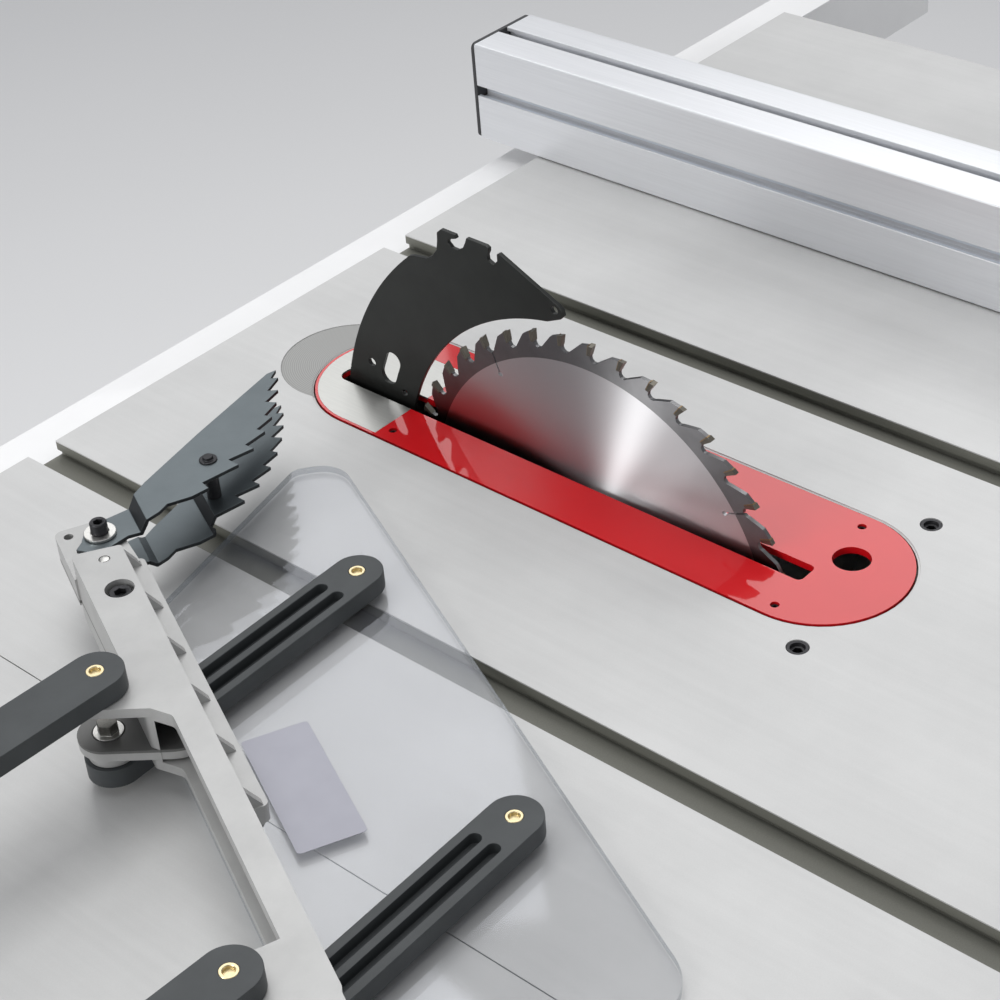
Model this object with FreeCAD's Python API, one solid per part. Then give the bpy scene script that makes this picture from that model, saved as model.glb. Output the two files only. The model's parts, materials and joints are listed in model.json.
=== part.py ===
import FreeCAD, Part
import math
import os

# Ten inch table saw with its blade guard taken off and laid on the table.
# Every shape is drawn from the saw's own working point: X from the blade's plane (right is
# positive), Y from the front edge side to the rear, Z from the top of the table. The save
# function then moves it to the row frame, whose origin is on the floor below the middle.

# ---------------------------------------------------------------- driving dimensions (mm)
TABLE_HEIGHT = 902.0
BLADE_X = -54.4            # the blade's plane in the row frame
BLADE_Y = 24.5             # the line Y = 0 in the row frame

TABLE_LEFT, TABLE_RIGHT = -280.4, 279.6
TABLE_FRONT, TABLE_REAR = -339.4, 346.4
WING_WIDTH = 253.6
SEAM = 0.4
TOP_THICK, RIM_DEPTH, RIM_WALL = 12.0, 42.0, 10.0
SLOT_CENTRES = (-153.95, 125.1)
SLOT_WIDTH, SLOT_DEPTH = 19.05, 10.0
SLOT_UNDERCUT, SLOT_LIP = 24.0, 6.0

INSERT_X, INSERT_R = 9.65, 46.35
INSERT_FRONT_Y, INSERT_REAR_Y = -53.0, 233.0
INSERT_THICK, INSERT_LEDGE = 4.0, 8.0
BLADE_SLOT = (-53.0, 264.5, 6.8)

BLADE_R, BLADE_PLATE, TEETH = 127.0, 2.2, 40
ARBOR_Y, ARBOR_Z = 83.0, -43.0
FIRST_TIP_ANGLE = 29.8
KNIFE_IN, KNIFE_OUT, KNIFE_THICK = 133.0, 182.0, 2.4

PIVOT_Y, PIVOT_Z = -67.0, -85.0
MOTOR_Y, MOTOR_Z, MOTOR_R = 83.0, -275.0, 70.0
RUN = 0.05                 # radial clearance of shafts in their bores
GAP = 0.4                  # clearance between other moving neighbours

RAIL_LEFT, RAIL_RIGHT = -534.4, 787.0
FENCE_X, FENCE_WIDTH, FENCE_TOP = 259.4, 57.0, 67.6
FENCE_FRONT, FENCE_REAR = -400.0, 395.0

CAB_X, CAB_FRONT, CAB_REAR = 235.0, -255.0, 330.0
CAB_TOP, CAB_BOTTOM, SHEET = -42.0, -822.0, 2.5

WORM_R = 12.0
RAISE_SECTOR_R, RAISE_TEETH = 110.0, 69
TILT_SECTOR_R, TILT_TEETH = 250.0, 157
RAISE_SHAFT_X = -68.0
RAISE_SHAFT_Z = PIVOT_Z - RAISE_SECTOR_R - GAP - WORM_R
TILT_SHAFT_Y = -209.0
TILT_SHAFT_Z = -TILT_SECTOR_R - GAP - WORM_R
SHAFT_R = 8.0
WHEEL_R = 75.0

# The guard lies on its side: GUARD_PLACE is its rear link pivot, GUARD_TURN the way its arm
# points, and its own x runs forward along the arm, y down to the work and z across it.
GUARD_PLACE = (-302.3, 106.7)
GUARD_TURN = -115.17
LINK_SPAN, LINK_REACH = 192.5, (-72.6, 142.0)
LINK_LENGTH = math.hypot(*LINK_REACH)
RAISED_ANGLE = -66.4
PAWL_BOLT = (-124.5, 32.0)
PAWL_BOLT_R = 2.5
ARM_PIN = (-91.6, 26.8)

V = FreeCAD.Vector
AXES = {"x": V(1, 0, 0), "y": V(0, 1, 0), "z": V(0, 0, 1)}


# ---------------------------------------------------------------- drawing helpers
def box(x0, x1, y0, y1, z0, z1):
    return Part.makeBox(x1 - x0, y1 - y0, z1 - z0, V(x0, y0, z0))


def rod(axis, a, b, lo, hi, r):
    """Cylinder along an axis; a and b are the two other coordinates in X, Y, Z order."""
    start = {"x": V(lo, a, b), "y": V(a, lo, b), "z": V(a, b, lo)}[axis]
    return Part.makeCylinder(r, hi - lo, start, AXES[axis])


def ring(axis, a, b, lo, hi, r_out, r_in):
    return rod(axis, a, b, lo, hi, r_out).cut(rod(axis, a, b, lo - 1, hi + 1, r_in))


def fuse(shapes):
    first, rest = shapes[0], shapes[1:]
    return first.multiFuse(rest).removeSplitter() if rest else first


def spot(axis, a, b, level):
    return {"x": V(level, a, b), "y": V(a, level, b), "z": V(a, b, level)}[axis]


def prism(axis, points, lo, hi):
    """Straight-sided plate: the outline's points are the two other coordinates in order."""
    wire = Part.makePolygon([spot(axis, a, b, lo) for a, b in points + points[:1]])
    return Part.Face(wire).extrude(AXES[axis] * (hi - lo))


def rounded(axis, corners, lo, hi):
    """Plate whose corners (a, b, radius) are rounded by tangent arcs."""
    edges, ends = [], []
    count = len(corners)
    for i, (a, b, r) in enumerate(corners):
        here = V(a, b, 0)
        back = V(*corners[i - 1][:2], 0) - here
        on = V(*corners[(i + 1) % count][:2], 0) - here
        half = back.getAngle(on) / 2
        back.normalize()
        on.normalize()
        if r <= 0:
            ends.append((here, None, here))
            continue
        reach = r / math.tan(half)
        middle = back + on
        middle.normalize()
        top = here + middle * (r / math.sin(half) - r)
        ends.append((here + back * reach, top, here + on * reach))
    for i, (start, top, end) in enumerate(ends):
        if top is not None:
            edges.append(Part.Arc(*[spot(axis, p.x, p.y, lo) for p in (start, top, end)]).toShape())
        nxt = ends[(i + 1) % count][0]
        if (nxt - end).Length > 1e-6:
            edges.append(Part.makeLine(spot(axis, end.x, end.y, lo), spot(axis, nxt.x, nxt.y, lo)))
    return Part.Face(Part.Wire(edges)).extrude(AXES[axis] * (hi - lo))


def capsule(axis, a, ra, b, rb, lo, hi):
    """Two round bosses joined by the plate between their common tangents."""
    gap = math.hypot(b[0] - a[0], b[1] - a[1])
    lean = math.acos((ra - rb) / gap)
    way = math.atan2(b[1] - a[1], b[0] - a[0])
    quad = []
    for centre, r, sign in ((a, ra, 1), (a, ra, -1), (b, rb, -1), (b, rb, 1)):
        turn = way + sign * lean
        quad.append((centre[0] + r * math.cos(turn), centre[1] + r * math.sin(turn)))
    return fuse([rod(axis, a[0], a[1], lo, hi, ra), rod(axis, b[0], b[1], lo, hi, rb),
                 prism(axis, quad, lo, hi)])


def stadium(grow, z0, z1):
    """The throat insert's outline, made larger or smaller by grow."""
    r = INSERT_R + grow
    return fuse([box(INSERT_X - r, INSERT_X + r, INSERT_FRONT_Y, INSERT_REAR_Y, z0, z1),
                 rod("z", INSERT_X, INSERT_FRONT_Y, z0, z1, r),
                 rod("z", INSERT_X, INSERT_REAR_Y, z0, z1, r)])


def polar(centre, r, degrees):
    turn = math.radians(degrees)
    return centre[0] + r * math.cos(turn), centre[1] + r * math.sin(turn)


def sector(axis, centre, r_in, r_out, start, end, lo, hi):
    """Piece of a flat ring between two angles in degrees."""
    mid = (start + end) / 2

    def arc(r, a, b):
        return Part.Arc(*[spot(axis, *polar(centre, r, t), lo) for t in (a, mid, b)]).toShape()

    def side(t):
        return Part.makeLine(spot(axis, *polar(centre, r_in, t), lo),
                             spot(axis, *polar(centre, r_out, t), lo))

    wire = Part.Wire(Part.__sortEdges__([arc(r_in, start, end), side(end),
                                         arc(r_out, start, end), side(start)]))
    return Part.Face(wire).extrude(AXES[axis] * (hi - lo))


def toothed(axis, centre, r_out, depth, start, end, teeth, lo, hi, r_in):
    """Flat ring piece with straight-flanked teeth on its outer rim."""
    pitch = 360.0 / teeth
    points = [polar(centre, r_in, start)]
    count = int((end - start) / pitch)
    for i in range(count):
        t = start + i * pitch
        for step, r in ((0.0, r_out - depth), (0.25, r_out - depth), (0.4, r_out), (0.7, r_out),
                        (0.85, r_out - depth)):
            points.append(polar(centre, r, t + step * pitch))
    last = start + count * pitch
    points.append(polar(centre, r_out - depth, last))
    steps = 12
    points += [polar(centre, r_in, last + (start - last) * i / steps) for i in range(steps)]
    return prism(axis, points, lo, hi)


def worm(axis, a, b, lo, hi):
    """Worm drawn as a core with rings, since its thread must clear the toothed sector."""
    rings = [rod(axis, a, b, lo, hi, WORM_R - 3)]
    pitch = 10.0
    for i in range(int((hi - lo) / pitch)):
        rings.append(rod(axis, a, b, lo + i * pitch + 3, lo + i * pitch + 7, WORM_R))
    return fuse(rings)


def hexagon(axis, a, b, lo, hi, across):
    r = across / math.sqrt(3)
    return prism(axis, [polar((a, b), r, 60 * i) for i in range(6)], lo, hi)


def save(name, shape, guard=False):
    if isinstance(shape, list):
        shape = Part.Compound(shape)
    shape = shape.copy()
    if guard:
        shape.rotate(V(0, 0, 0), V(0, 0, 1), GUARD_TURN)
        shape.translate(V(*GUARD_PLACE, 0))
    shape.translate(V(BLADE_X, BLADE_Y, TABLE_HEIGHT))
    shape.exportStep("parts/" + name + ".step")
    boxed = shape.BoundBox
    print(f"{name:20s} solids {len(shape.Solids):3d} valid {shape.isValid()} "
          f"x {boxed.XMin:7.1f} {boxed.XMax:7.1f} y {boxed.YMin:7.1f} {boxed.YMax:7.1f} "
          f"z {boxed.ZMin:7.1f} {boxed.ZMax:7.1f}")


# ---------------------------------------------------------------- table and wings
def table_top():
    plate = box(TABLE_LEFT, TABLE_RIGHT, TABLE_FRONT, TABLE_REAR, -TOP_THICK, 0)
    rim = box(TABLE_LEFT, TABLE_RIGHT, TABLE_FRONT, TABLE_REAR, -RIM_DEPTH, -TOP_THICK)
    rim = rim.cut(box(TABLE_LEFT + RIM_WALL, TABLE_RIGHT - RIM_WALL, TABLE_FRONT + RIM_WALL,
                      TABLE_REAR - RIM_WALL, -RIM_DEPTH - 1, -TOP_THICK + 1))
    body = [plate, rim, stadium(4, -16, -TOP_THICK)]
    for x in (-234, 226):
        body.append(box(x, x + 8, TABLE_FRONT + 5, TABLE_REAR - 5, -RIM_DEPTH, -TOP_THICK))
    for y in (-252, 308):
        body.append(box(TABLE_LEFT + 5, TABLE_RIGHT - 5, y, y + 8, -RIM_DEPTH, -TOP_THICK))
    for x in SLOT_CENTRES:
        body.append(box(x - 20, x + 20, TABLE_FRONT, TABLE_REAR, -18, -TOP_THICK))
    top = fuse(body)
    cuts = [stadium(0.9, -INSERT_THICK - 0.3, 1), stadium(1.9, -0.7, 1),
            stadium(-INSERT_LEDGE, -20, 1)]
    for x in SLOT_CENTRES:
        half = SLOT_WIDTH / 2
        under = SLOT_UNDERCUT / 2
        cuts.append(box(x - half, x + half, TABLE_FRONT - 1, TABLE_REAR + 1, -SLOT_DEPTH, 1))
        cuts.append(box(x - under, x + under, TABLE_FRONT - 1, TABLE_REAR + 1,
                        -SLOT_DEPTH, -SLOT_LIP))
    cuts.append(rod("z", INSERT_X, 270, -0.5, 1, 40))
    for x, y in STOP_SCREWS:
        cuts.append(rod("z", x, y, -13, 1, 5.6))
    return top.cut(Part.Compound(cuts))


def wing(x0, x1):
    rim = box(x0, x1, TABLE_FRONT, TABLE_REAR, -38, 0)
    rim = rim.cut(box(x0 + 9, x1 - 9, TABLE_FRONT + 9, TABLE_REAR - 9, -39, -10))
    ribs = [rim]
    for i in range(1, 4):
        y = TABLE_FRONT + (TABLE_REAR - TABLE_FRONT) * i / 4
        ribs.append(box(x0 + 4, x1 - 4, y - 4, y + 4, -30, -9))
    ribs.append(box((x0 + x1) / 2 - 4, (x0 + x1) / 2 + 4, TABLE_FRONT + 4, TABLE_REAR - 4, -30, -9))
    return fuse(ribs)


STOP_SCREWS = ((68.8, -78.3), (-48.1, -81.1))


def stop_screws():
    screws = []
    for x, y in STOP_SCREWS:
        collar = ring("z", x, y, -12, -0.4, 5.6, 3.2)
        screws.append(fuse([collar, rod("z", x, y, -12, -6, 3.2)]))
    return screws


def table_bolts():
    bolts = []
    for i in range(6):
        x = RAIL_LEFT + 60 + i * 190
        bolts.append(hexagon("y", x, -58, TABLE_FRONT - 9.4, TABLE_FRONT - 5, 13))
        bolts.append(hexagon("y", x, -30, TABLE_REAR + 5, TABLE_REAR + 10.5, 13))
    for y in (-250, 60, 250):
        bolts.append(hexagon("x", y, -25, TABLE_LEFT - SEAM - 9 - 7, TABLE_LEFT - SEAM - 9, 16))
        bolts.append(hexagon("x", y, -25, TABLE_RIGHT + SEAM + 9, TABLE_RIGHT + SEAM + 9 + 7, 16))
    return bolts


# ---------------------------------------------------------------- rails and fence
def front_rail():
    angle = fuse([box(RAIL_LEFT, RAIL_RIGHT, TABLE_FRONT - 5, TABLE_FRONT, -71, -12),
                  box(RAIL_LEFT, RAIL_RIGHT, -405, TABLE_FRONT, -71, -66)])
    tube = box(RAIL_LEFT, RAIL_RIGHT, -405, -354, -66, -15)
    tube = tube.cut(box(RAIL_LEFT - 1, RAIL_RIGHT + 1, -402, -357, -63, -18))
    edges = [e for e in tube.Edges if e.Length > 1000 and abs(e.BoundBox.YMin + 379.5) > 24.9]
    return [angle, tube.makeFillet(3.0, edges)]


def rear_rail():
    return fuse([box(RAIL_LEFT, RAIL_RIGHT - 60, TABLE_REAR, TABLE_REAR + 5, -72, -12),
                 box(RAIL_LEFT, RAIL_RIGHT - 60, TABLE_REAR, TABLE_REAR + 37.6, -17, -12)])


def fence_beam():
    x1 = FENCE_X + FENCE_WIDTH
    mid = FENCE_X + FENCE_WIDTH / 2
    outer = rounded("y", [(FENCE_X, 1, 1), (x1, 1, 1), (x1, FENCE_TOP, 1.5),
                          (FENCE_X, FENCE_TOP, 1.5)], FENCE_FRONT, FENCE_REAR)
    cuts = [box(FENCE_X + 3.5, x1 - 3.5, FENCE_FRONT - 1, FENCE_REAR + 1, 4.5, 26),
            box(FENCE_X + 3.5, x1 - 3.5, FENCE_FRONT - 1, FENCE_REAR + 1, 44, FENCE_TOP - 10)]
    for x, way in ((FENCE_X, 1), (x1, -1)):
        low, high = sorted((x - way, x + way * 9))
        cuts.append(box(low, high, FENCE_FRONT - 1, FENCE_REAR + 1, 31.5, 38.5))
        low, high = sorted((x + way * 3, x + way * 9))
        cuts.append(box(low, high, FENCE_FRONT - 1, FENCE_REAR + 1, 29, 41))
    cuts.append(box(mid - 4, mid + 4, FENCE_FRONT - 1, FENCE_REAR + 1, FENCE_TOP - 7, FENCE_TOP + 1))
    cuts.append(box(mid - 7, mid + 7, FENCE_FRONT - 1, FENCE_REAR + 1, FENCE_TOP - 7, FENCE_TOP - 3))
    return outer.cut(Part.Compound(cuts))


LEVER_Y, LEVER_Z = -426.0, -42.0


def fence_carriage():
    mid = FENCE_X + FENCE_WIDTH / 2
    plate = box(mid - 88, mid + 88, -411, -348.7, -14.6, -8.6)
    face = box(mid - 88, mid + 88, -411, -405.4, -66, -8.6)
    pads = [box(mid + s - 14, mid + s + 14, -353.6, -348.7, -45, -8.6) for s in (-70, 70)]
    block = box(mid - 25, mid + 25, -395, -350, -8.6, 1)
    ears = []
    for x0 in (mid - 18, mid + 10):
        ear = capsule("x", (LEVER_Y, LEVER_Z), 12, (-408, LEVER_Z), 14, x0, x0 + 8)
        ears.append(ear.cut(box(x0 - 1, x0 + 9, -405.4, -380, -70, 0)))
    shape = fuse([plate, face, block] + pads + ears)
    return shape.cut(rod("x", LEVER_Y, LEVER_Z, mid - 20, mid + 20, 5 + RUN))


def fence_lever():
    mid = FENCE_X + FENCE_WIDTH / 2
    cam = rod("x", LEVER_Y, LEVER_Z, mid - 9.6, mid + 9.6, 11)
    pin = rod("x", LEVER_Y, LEVER_Z, mid - 19, mid + 19, 5)
    bar = rod("z", mid, LEVER_Y - 4, LEVER_Z - 90, LEVER_Z - 4, 6)
    grip = Part.makeSphere(17, V(mid, LEVER_Y - 4, LEVER_Z - 100))
    neck = Part.makeCone(9, 6.5, 26, V(mid, LEVER_Y - 4, LEVER_Z - 88), V(0, 0, 1))
    return fuse([cam, pin, bar, grip, neck])


def fence_end_caps():
    x1 = FENCE_X + FENCE_WIDTH
    caps = []
    for y in (FENCE_FRONT - 3, FENCE_REAR):
        caps.append(rounded("y", [(FENCE_X, 1, 3), (x1, 1, 3), (x1, FENCE_TOP, 4),
                                  (FENCE_X, FENCE_TOP, 4)], y, y + 3))
    return caps


# ---------------------------------------------------------------- throat insert
def blade_slot(z0, z1):
    y0, y1, half = BLADE_SLOT
    return rounded("z", [(-half, y0, 3), (half, y0, 3), (half, y1, 6), (-half, y1, 6)], z0, z1)


def wear_outline(grow, z0, z1):
    patch = stadium(grow - 1.6, z0, z1)
    return patch.common(box(-60, 38 + grow, 207 - grow, 300, z0, z1))


SCREW_HOLES = ((47.3, -51.9), (-28.7, -53.9), (-27.8, 200.5), (47.2, 200.5))


def throat_insert():
    plate = stadium(0, -INSERT_THICK, 0)
    cuts = [blade_slot(-9, 1), rod("z", 22.5, -62.9, -9, 1, 9.7), wear_outline(0.1, -1.2, 1)]
    for x, y in SCREW_HOLES:
        cuts.append(rod("z", x, y, -9, 1, 2.3))
    return plate.cut(Part.Compound(cuts))


def wear_plate():
    return wear_outline(0, -1.2, 0).cut(blade_slot(-9, 1))


# ---------------------------------------------------------------- trunnions and cradle
AXIS = (0.0, 0.0)
GROOVE = (151.6, 162.4)
REAR_PLATE_Y = 272.0


def trunnion(y0, y1, groove0, groove1):
    body = [sector("y", AXIS, 140, 178, -160, -20, y0, y1),
            box(-172, -136, y0, y1, -75, -18), box(107, 143, y0, y1, -75, -18)]
    groove = sector("y", AXIS, GROOVE[0], GROOVE[1], -158, -22, groove0, groove1)
    return fuse(body).cut(groove)


def cradle():
    front = toothed("y", AXIS, TILT_SECTOR_R, 6, -150, -77, TILT_TEETH, -215, -203, 140)
    front_rib = sector("y", AXIS, GROOVE[0] + GAP, GROOVE[1] - GAP, -150, -78, -223.4, -214)
    rear = sector("y", AXIS, 140, 190, -150, -78, REAR_PLATE_Y, REAR_PLATE_Y + 14)
    rear_rib = sector("y", AXIS, GROOVE[0] + GAP, GROOVE[1] - GAP, -150, -78,
                      REAR_PLATE_Y + 13, REAR_PLATE_Y + 22)
    beam = box(-150, -132, -204, REAR_PLATE_Y + 1, -140, -84)
    left_ear = capsule("x", (PIVOT_Y, PIVOT_Z), 27, (PIVOT_Y, PIVOT_Z - 40), 34, -150, -132)
    web = box(-150, -44, -125, -105, -112, -62)
    right_ear = fuse([box(-58, -44, -125, PIVOT_Y, -112, -62),
                      rod("x", PIVOT_Y, PIVOT_Z, -58, -44, 25),
                      box(-55.4, -44, -62, -18, -221, -66)])
    boss = rod("y", RAISE_SHAFT_X, RAISE_SHAFT_Z, -36, -18, 14)
    shape = fuse([front, front_rib, rear, rear_rib, beam, left_ear, web, right_ear, boss])
    shaft = rod("y", RAISE_SHAFT_X, RAISE_SHAFT_Z, -230, 0, SHAFT_R + RUN)
    pin = rod("x", PIVOT_Y, PIVOT_Z, -160, -40, 10)
    lighten = sector("y", AXIS, 178, 200, -145, -118, -230, -200)
    return shape.cut(Part.Compound([shaft, pin, lighten]))


def raise_pin():
    return rod("x", PIVOT_Y, PIVOT_Z, -153, -42, 10)


# ---------------------------------------------------------------- arbor arm
PLATE = (-98.0, -84.0)
CLAMP = (240.0, -80.0)


def arbor_arm():
    lo, hi = PLATE
    pivot, arbor, motor = (PIVOT_Y, PIVOT_Z), (ARBOR_Y, ARBOR_Z), (MOTOR_Y, MOTOR_Z)
    body = [capsule("x", pivot, 24, arbor, 25, lo, hi), capsule("x", pivot, 22, motor, 46, lo, hi),
            capsule("x", arbor, 24, motor, 50, lo, hi), capsule("x", arbor, 22, CLAMP, 20, lo, hi),
            rod("x", *pivot, -104, -60, 24), rod("x", *arbor, lo, -16, 25),
            toothed("x", pivot, RAISE_SECTOR_R, 6, -98, -48, RAISE_TEETH, -74, -62, 15)]
    shape = fuse(body)
    cuts = [rod("x", *pivot, -110, -50, 10 + RUN), rod("x", *arbor, lo - 1, -22, 20),
            rod("x", *arbor, -23, -10, 17), rod("x", *motor, lo - 1, hi + 1, 20)]
    return shape.cut(Part.Compound(cuts))


def arbor_bearings():
    rings = []
    for x in (-98.0, -34.0):
        race = ring("x", ARBOR_Y, ARBOR_Z, x, x + 12, 20, 8.5 + RUN)
        groove = ring("x", ARBOR_Y, ARBOR_Z, x - 1, x + 0.8, 16.5, 12)
        rings.append(race.cut(groove))
    return rings


def arbor_shaft():
    return fuse([rod("x", ARBOR_Y, ARBOR_Z, -124, -9, 8.5),
                 rod("x", ARBOR_Y, ARBOR_Z, -13, -BLADE_PLATE / 2, 16),
                 rod("x", ARBOR_Y, ARBOR_Z, -6, -BLADE_PLATE / 2, 22),
                 rod("x", ARBOR_Y, ARBOR_Z, -6, 20, 7.94)])


def blade():
    centre = (ARBOR_Y, ARBOR_Z)
    pitch = 360.0 / TEETH
    profile = ((BLADE_R, 0.0), (118.0, -1.1), (114.0, -0.9), (111.6, 0.4), (111.4, 1.8),
               (114.0, 3.2), (120.5, 4.3), (125.2, 5.3))
    points = []
    for i in range(TEETH):
        tip = FIRST_TIP_ANGLE + i * pitch
        points += [polar(centre, r, tip + t) for r, t in profile]
    half = BLADE_PLATE / 2
    disc = prism("x", points, -half, half)
    cuts = [rod("x", ARBOR_Y, ARBOR_Z, -5, 5, 7.95)]
    for i in range(4):
        # A thin expansion slot runs in from a gullet and ends in a small hole.
        turn = FIRST_TIP_ANGLE + 1.1 + 22.2 + i * 90
        slit = box(-5, 5, 88, 114, -0.6, 0.6)
        slit = slit.fuse(rod("x", 88, 0, -5, 5, 1.7))
        slit.rotate(V(0, 0, 0), V(1, 0, 0), turn)
        slit.translate(V(0, ARBOR_Y, ARBOR_Z))
        cuts.append(slit)
    return disc.cut(Part.Compound(cuts))


def outer_flange():
    half = BLADE_PLATE / 2
    body = rod("x", ARBOR_Y, ARBOR_Z, half, half + 6, 22)
    dish = rod("x", ARBOR_Y, ARBOR_Z, half - 1, half + 1.5, 17)
    return body.cut(Part.Compound([dish, rod("x", ARBOR_Y, ARBOR_Z, 0, 20, 7.95)]))


def arbor_nut():
    lo = BLADE_PLATE / 2 + 6
    nut = hexagon("x", ARBOR_Y, ARBOR_Z, lo, lo + 10, 24)
    return nut.cut(rod("x", ARBOR_Y, ARBOR_Z, 0, 30, 7.95))


PULLEY = (-122.0, -104.0)
ARBOR_PULLEY_R, MOTOR_PULLEY_R = 24.0, 28.0


def pulley(y, z, r, bore):
    lo, hi = PULLEY
    body = ring("x", y, z, lo, hi, r, bore)
    grooves = [ring("x", y, z, lo + 3 + i * 3, lo + 4.5 + i * 3, r + 1, r - 2) for i in range(5)]
    return body.cut(Part.Compound(grooves))


def drive_belt():
    lo, hi = PULLEY[0] + 2, PULLEY[1] - 2
    top, low = (ARBOR_Y, ARBOR_Z), (MOTOR_Y, MOTOR_Z)
    thick = 3.5
    outer = capsule("x", top, ARBOR_PULLEY_R + GAP + thick, low, MOTOR_PULLEY_R + GAP + thick, lo, hi)
    inner = capsule("x", top, ARBOR_PULLEY_R + GAP, low, MOTOR_PULLEY_R + GAP, lo - 1, hi + 1)
    return outer.cut(inner)


def motor():
    lo = PLATE[1]
    flange = rod("x", MOTOR_Y, MOTOR_Z, lo, lo + 9, 62)
    parts = [flange, rod("x", MOTOR_Y, MOTOR_Z, lo + 8, 115, MOTOR_R - 5)]
    for i in range(9):
        x = lo + 22 + i * 14
        parts.append(rod("x", MOTOR_Y, MOTOR_Z, x, x + 4, MOTOR_R))
    parts.append(rod("x", MOTOR_Y, MOTOR_Z, 82, 115, MOTOR_R))
    parts.append(box(-30, 60, MOTOR_Y - 28, MOTOR_Y + 28, MOTOR_Z - MOTOR_R - 18, MOTOR_Z - 40))
    return fuse(parts).cut(rod("x", MOTOR_Y, MOTOR_Z, lo - 1, lo + 40, 9.5 + RUN))


def motor_pulley():
    shaft = rod("x", MOTOR_Y, MOTOR_Z, -124, PLATE[1] + 38, 9.5)
    return [pulley(MOTOR_Y, MOTOR_Z, MOTOR_PULLEY_R, 9.5), shaft]


# ---------------------------------------------------------------- riving knife
def riving_knife():
    centre = (ARBOR_Y, ARBOR_Z)

    def arc(r, a, b):
        return Part.Arc(*[V(0, *polar(centre, r, t)) for t in (a, (a + b) / 2, b)]).toShape()

    tail, outer_top, inner_top = -28.0, 49.4, 79.9
    hooks = [(198.0, 96.3), (188.8, 97.6), (184.1, 100.8), (180.4, 105.6), (179.3, 111.3),
             (178.9, 116.2), (176.0, 118.8), (166.0, 118.6), (165.2, 116.7), (167.8, 115.7),
             (170.8, 114.9), (171.5, 112.5), (168.9, 110.2), (165.2, 110.0), (161.2, 112.6),
             (159.2, 116.4), (158.1, 119.3), (144.7, 119.2), (142.9, 118.2), (143.0, 116.2),
             (144.3, 113.6), (144.0, 111.0), (140.5, 109.5), (137.6, 112.6), (137.5, 116.6),
             (136.0, 117.4), (98.5, 100.0), (95.6, 97.9), (94.9, 94.6), (97.0, 92.3)]
    start, end = polar(centre, KNIFE_OUT, outer_top), polar(centre, KNIFE_IN, inner_top)
    chain = [start] + hooks + [end]
    edges = [arc(KNIFE_OUT, tail, outer_top)]
    edges += [Part.makeLine(V(0, *a), V(0, *b)) for a, b in zip(chain, chain[1:])]
    edges += [arc(KNIFE_IN, tail, inner_top),
              Part.makeLine(V(0, *polar(centre, KNIFE_IN, tail)), V(0, *polar(centre, KNIFE_OUT, tail)))]
    plate = Part.Face(Part.Wire(Part.__sortEdges__(edges))).extrude(V(KNIFE_THICK, 0, 0))
    plate.translate(V(-KNIFE_THICK / 2, 0, 0))
    obround = capsule("x", (223.2, 22.0), 5.4, (227.6, 11.5), 5.4, -3, 3)
    holes = [rod("x", 240.1, 15.4, -3, 3, 2.6), rod("x", 216.3, 4.1, -3, 3, 1.8),
             rod("x", 100.8, 96.3, -3, 3, 2.2), obround]
    for y in (229.0, 251.0):
        holes.append(rod("x", y, CLAMP[1], -3, 3, 4.2))
    return plate.cut(Part.Compound(holes))


def knife_clamp():
    half = KNIFE_THICK / 2
    inner = box(PLATE[1], -half, 222, 258, -98, -62)
    outer = rounded("x", [(222, -98, 5), (258, -98, 5), (258, -62, 5), (222, -62, 5)], half, 8)
    shapes = [inner, outer]
    for y in (229.0, 251.0):
        shapes.append(fuse([rod("x", y, CLAMP[1], -half, half, 4), rod("x", y, CLAMP[1], 8, 14, 6)]))
    return shapes


# ---------------------------------------------------------------- handwheels
def handwheel(axis, a, b, face, out):
    """Dished wheel; face is where its hub starts and out is +1 or -1 along the axis."""
    def slab(u, v, s0, s1, r):
        lo, hi = sorted((face + out * s0, face + out * s1))
        return rod(axis, u, v, lo, hi, r)

    rim = Part.makeTorus(WHEEL_R, 8, spot(axis, a, b, face + out * 14), AXES[axis])
    hub = slab(a, b, 0, 26, 19)
    parts = [rim, hub]
    for i in range(3):
        spoke = polar((a, b), WHEEL_R, 90 + 120 * i)
        lo, hi = sorted((face + out * 8, face + out * 18))
        parts.append(capsule(axis, (a, b), 12, spoke, 7, lo, hi))
    handle = polar((a, b), WHEEL_R, 90)
    parts.append(slab(*handle, 14, 26, 9))
    parts.append(slab(*handle, 14, 84, 4))
    shape = fuse(parts)
    lo, hi = sorted((face - out, face + out * 30))
    return shape.cut(rod(axis, a, b, lo, hi, SHAFT_R))


def wheel_handle(axis, a, b, face, out):
    """Turned grip that spins on the wheel's handle stud."""
    profile = [(4 + RUN, 26.4), (8, 26.4), (11, 40), (12, 58), (9.5, 74), (6.5, 81), (4 + RUN, 82)]
    centre = polar((a, b), WHEEL_R, 90)
    points = []
    for r, s in profile + profile[:1]:
        points.append(spot(axis, centre[0] + (r if axis == "y" else 0),
                           centre[1] + (r if axis == "x" else 0), face + out * s))
    section = Part.Face(Part.makePolygon(points))
    return section.revolve(spot(axis, centre[0], centre[1], 0), AXES[axis], 360)


def lock_knob(axis, a, b, face, out):
    """Lobed knob on the shaft's end that locks the wheel."""
    lo, hi = sorted((face + out * 30, face + out * 46))
    body = rod(axis, a, b, lo, hi, 20)
    cuts = [rod(axis, *polar((a, b), 24, 60 * i), lo - 1, hi + 1, 7) for i in range(6)]
    neck_lo, neck_hi = sorted((face + out * 26.4, face + out * 31))
    return fuse([body.cut(Part.Compound(cuts)), rod(axis, a, b, neck_lo, neck_hi, 12)])


RAISE_WHEEL = ("y", RAISE_SHAFT_X, RAISE_SHAFT_Z, -272.0, -1)
TILT_WHEEL = ("x", TILT_SHAFT_Y, TILT_SHAFT_Z, -252.0, -1)


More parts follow.
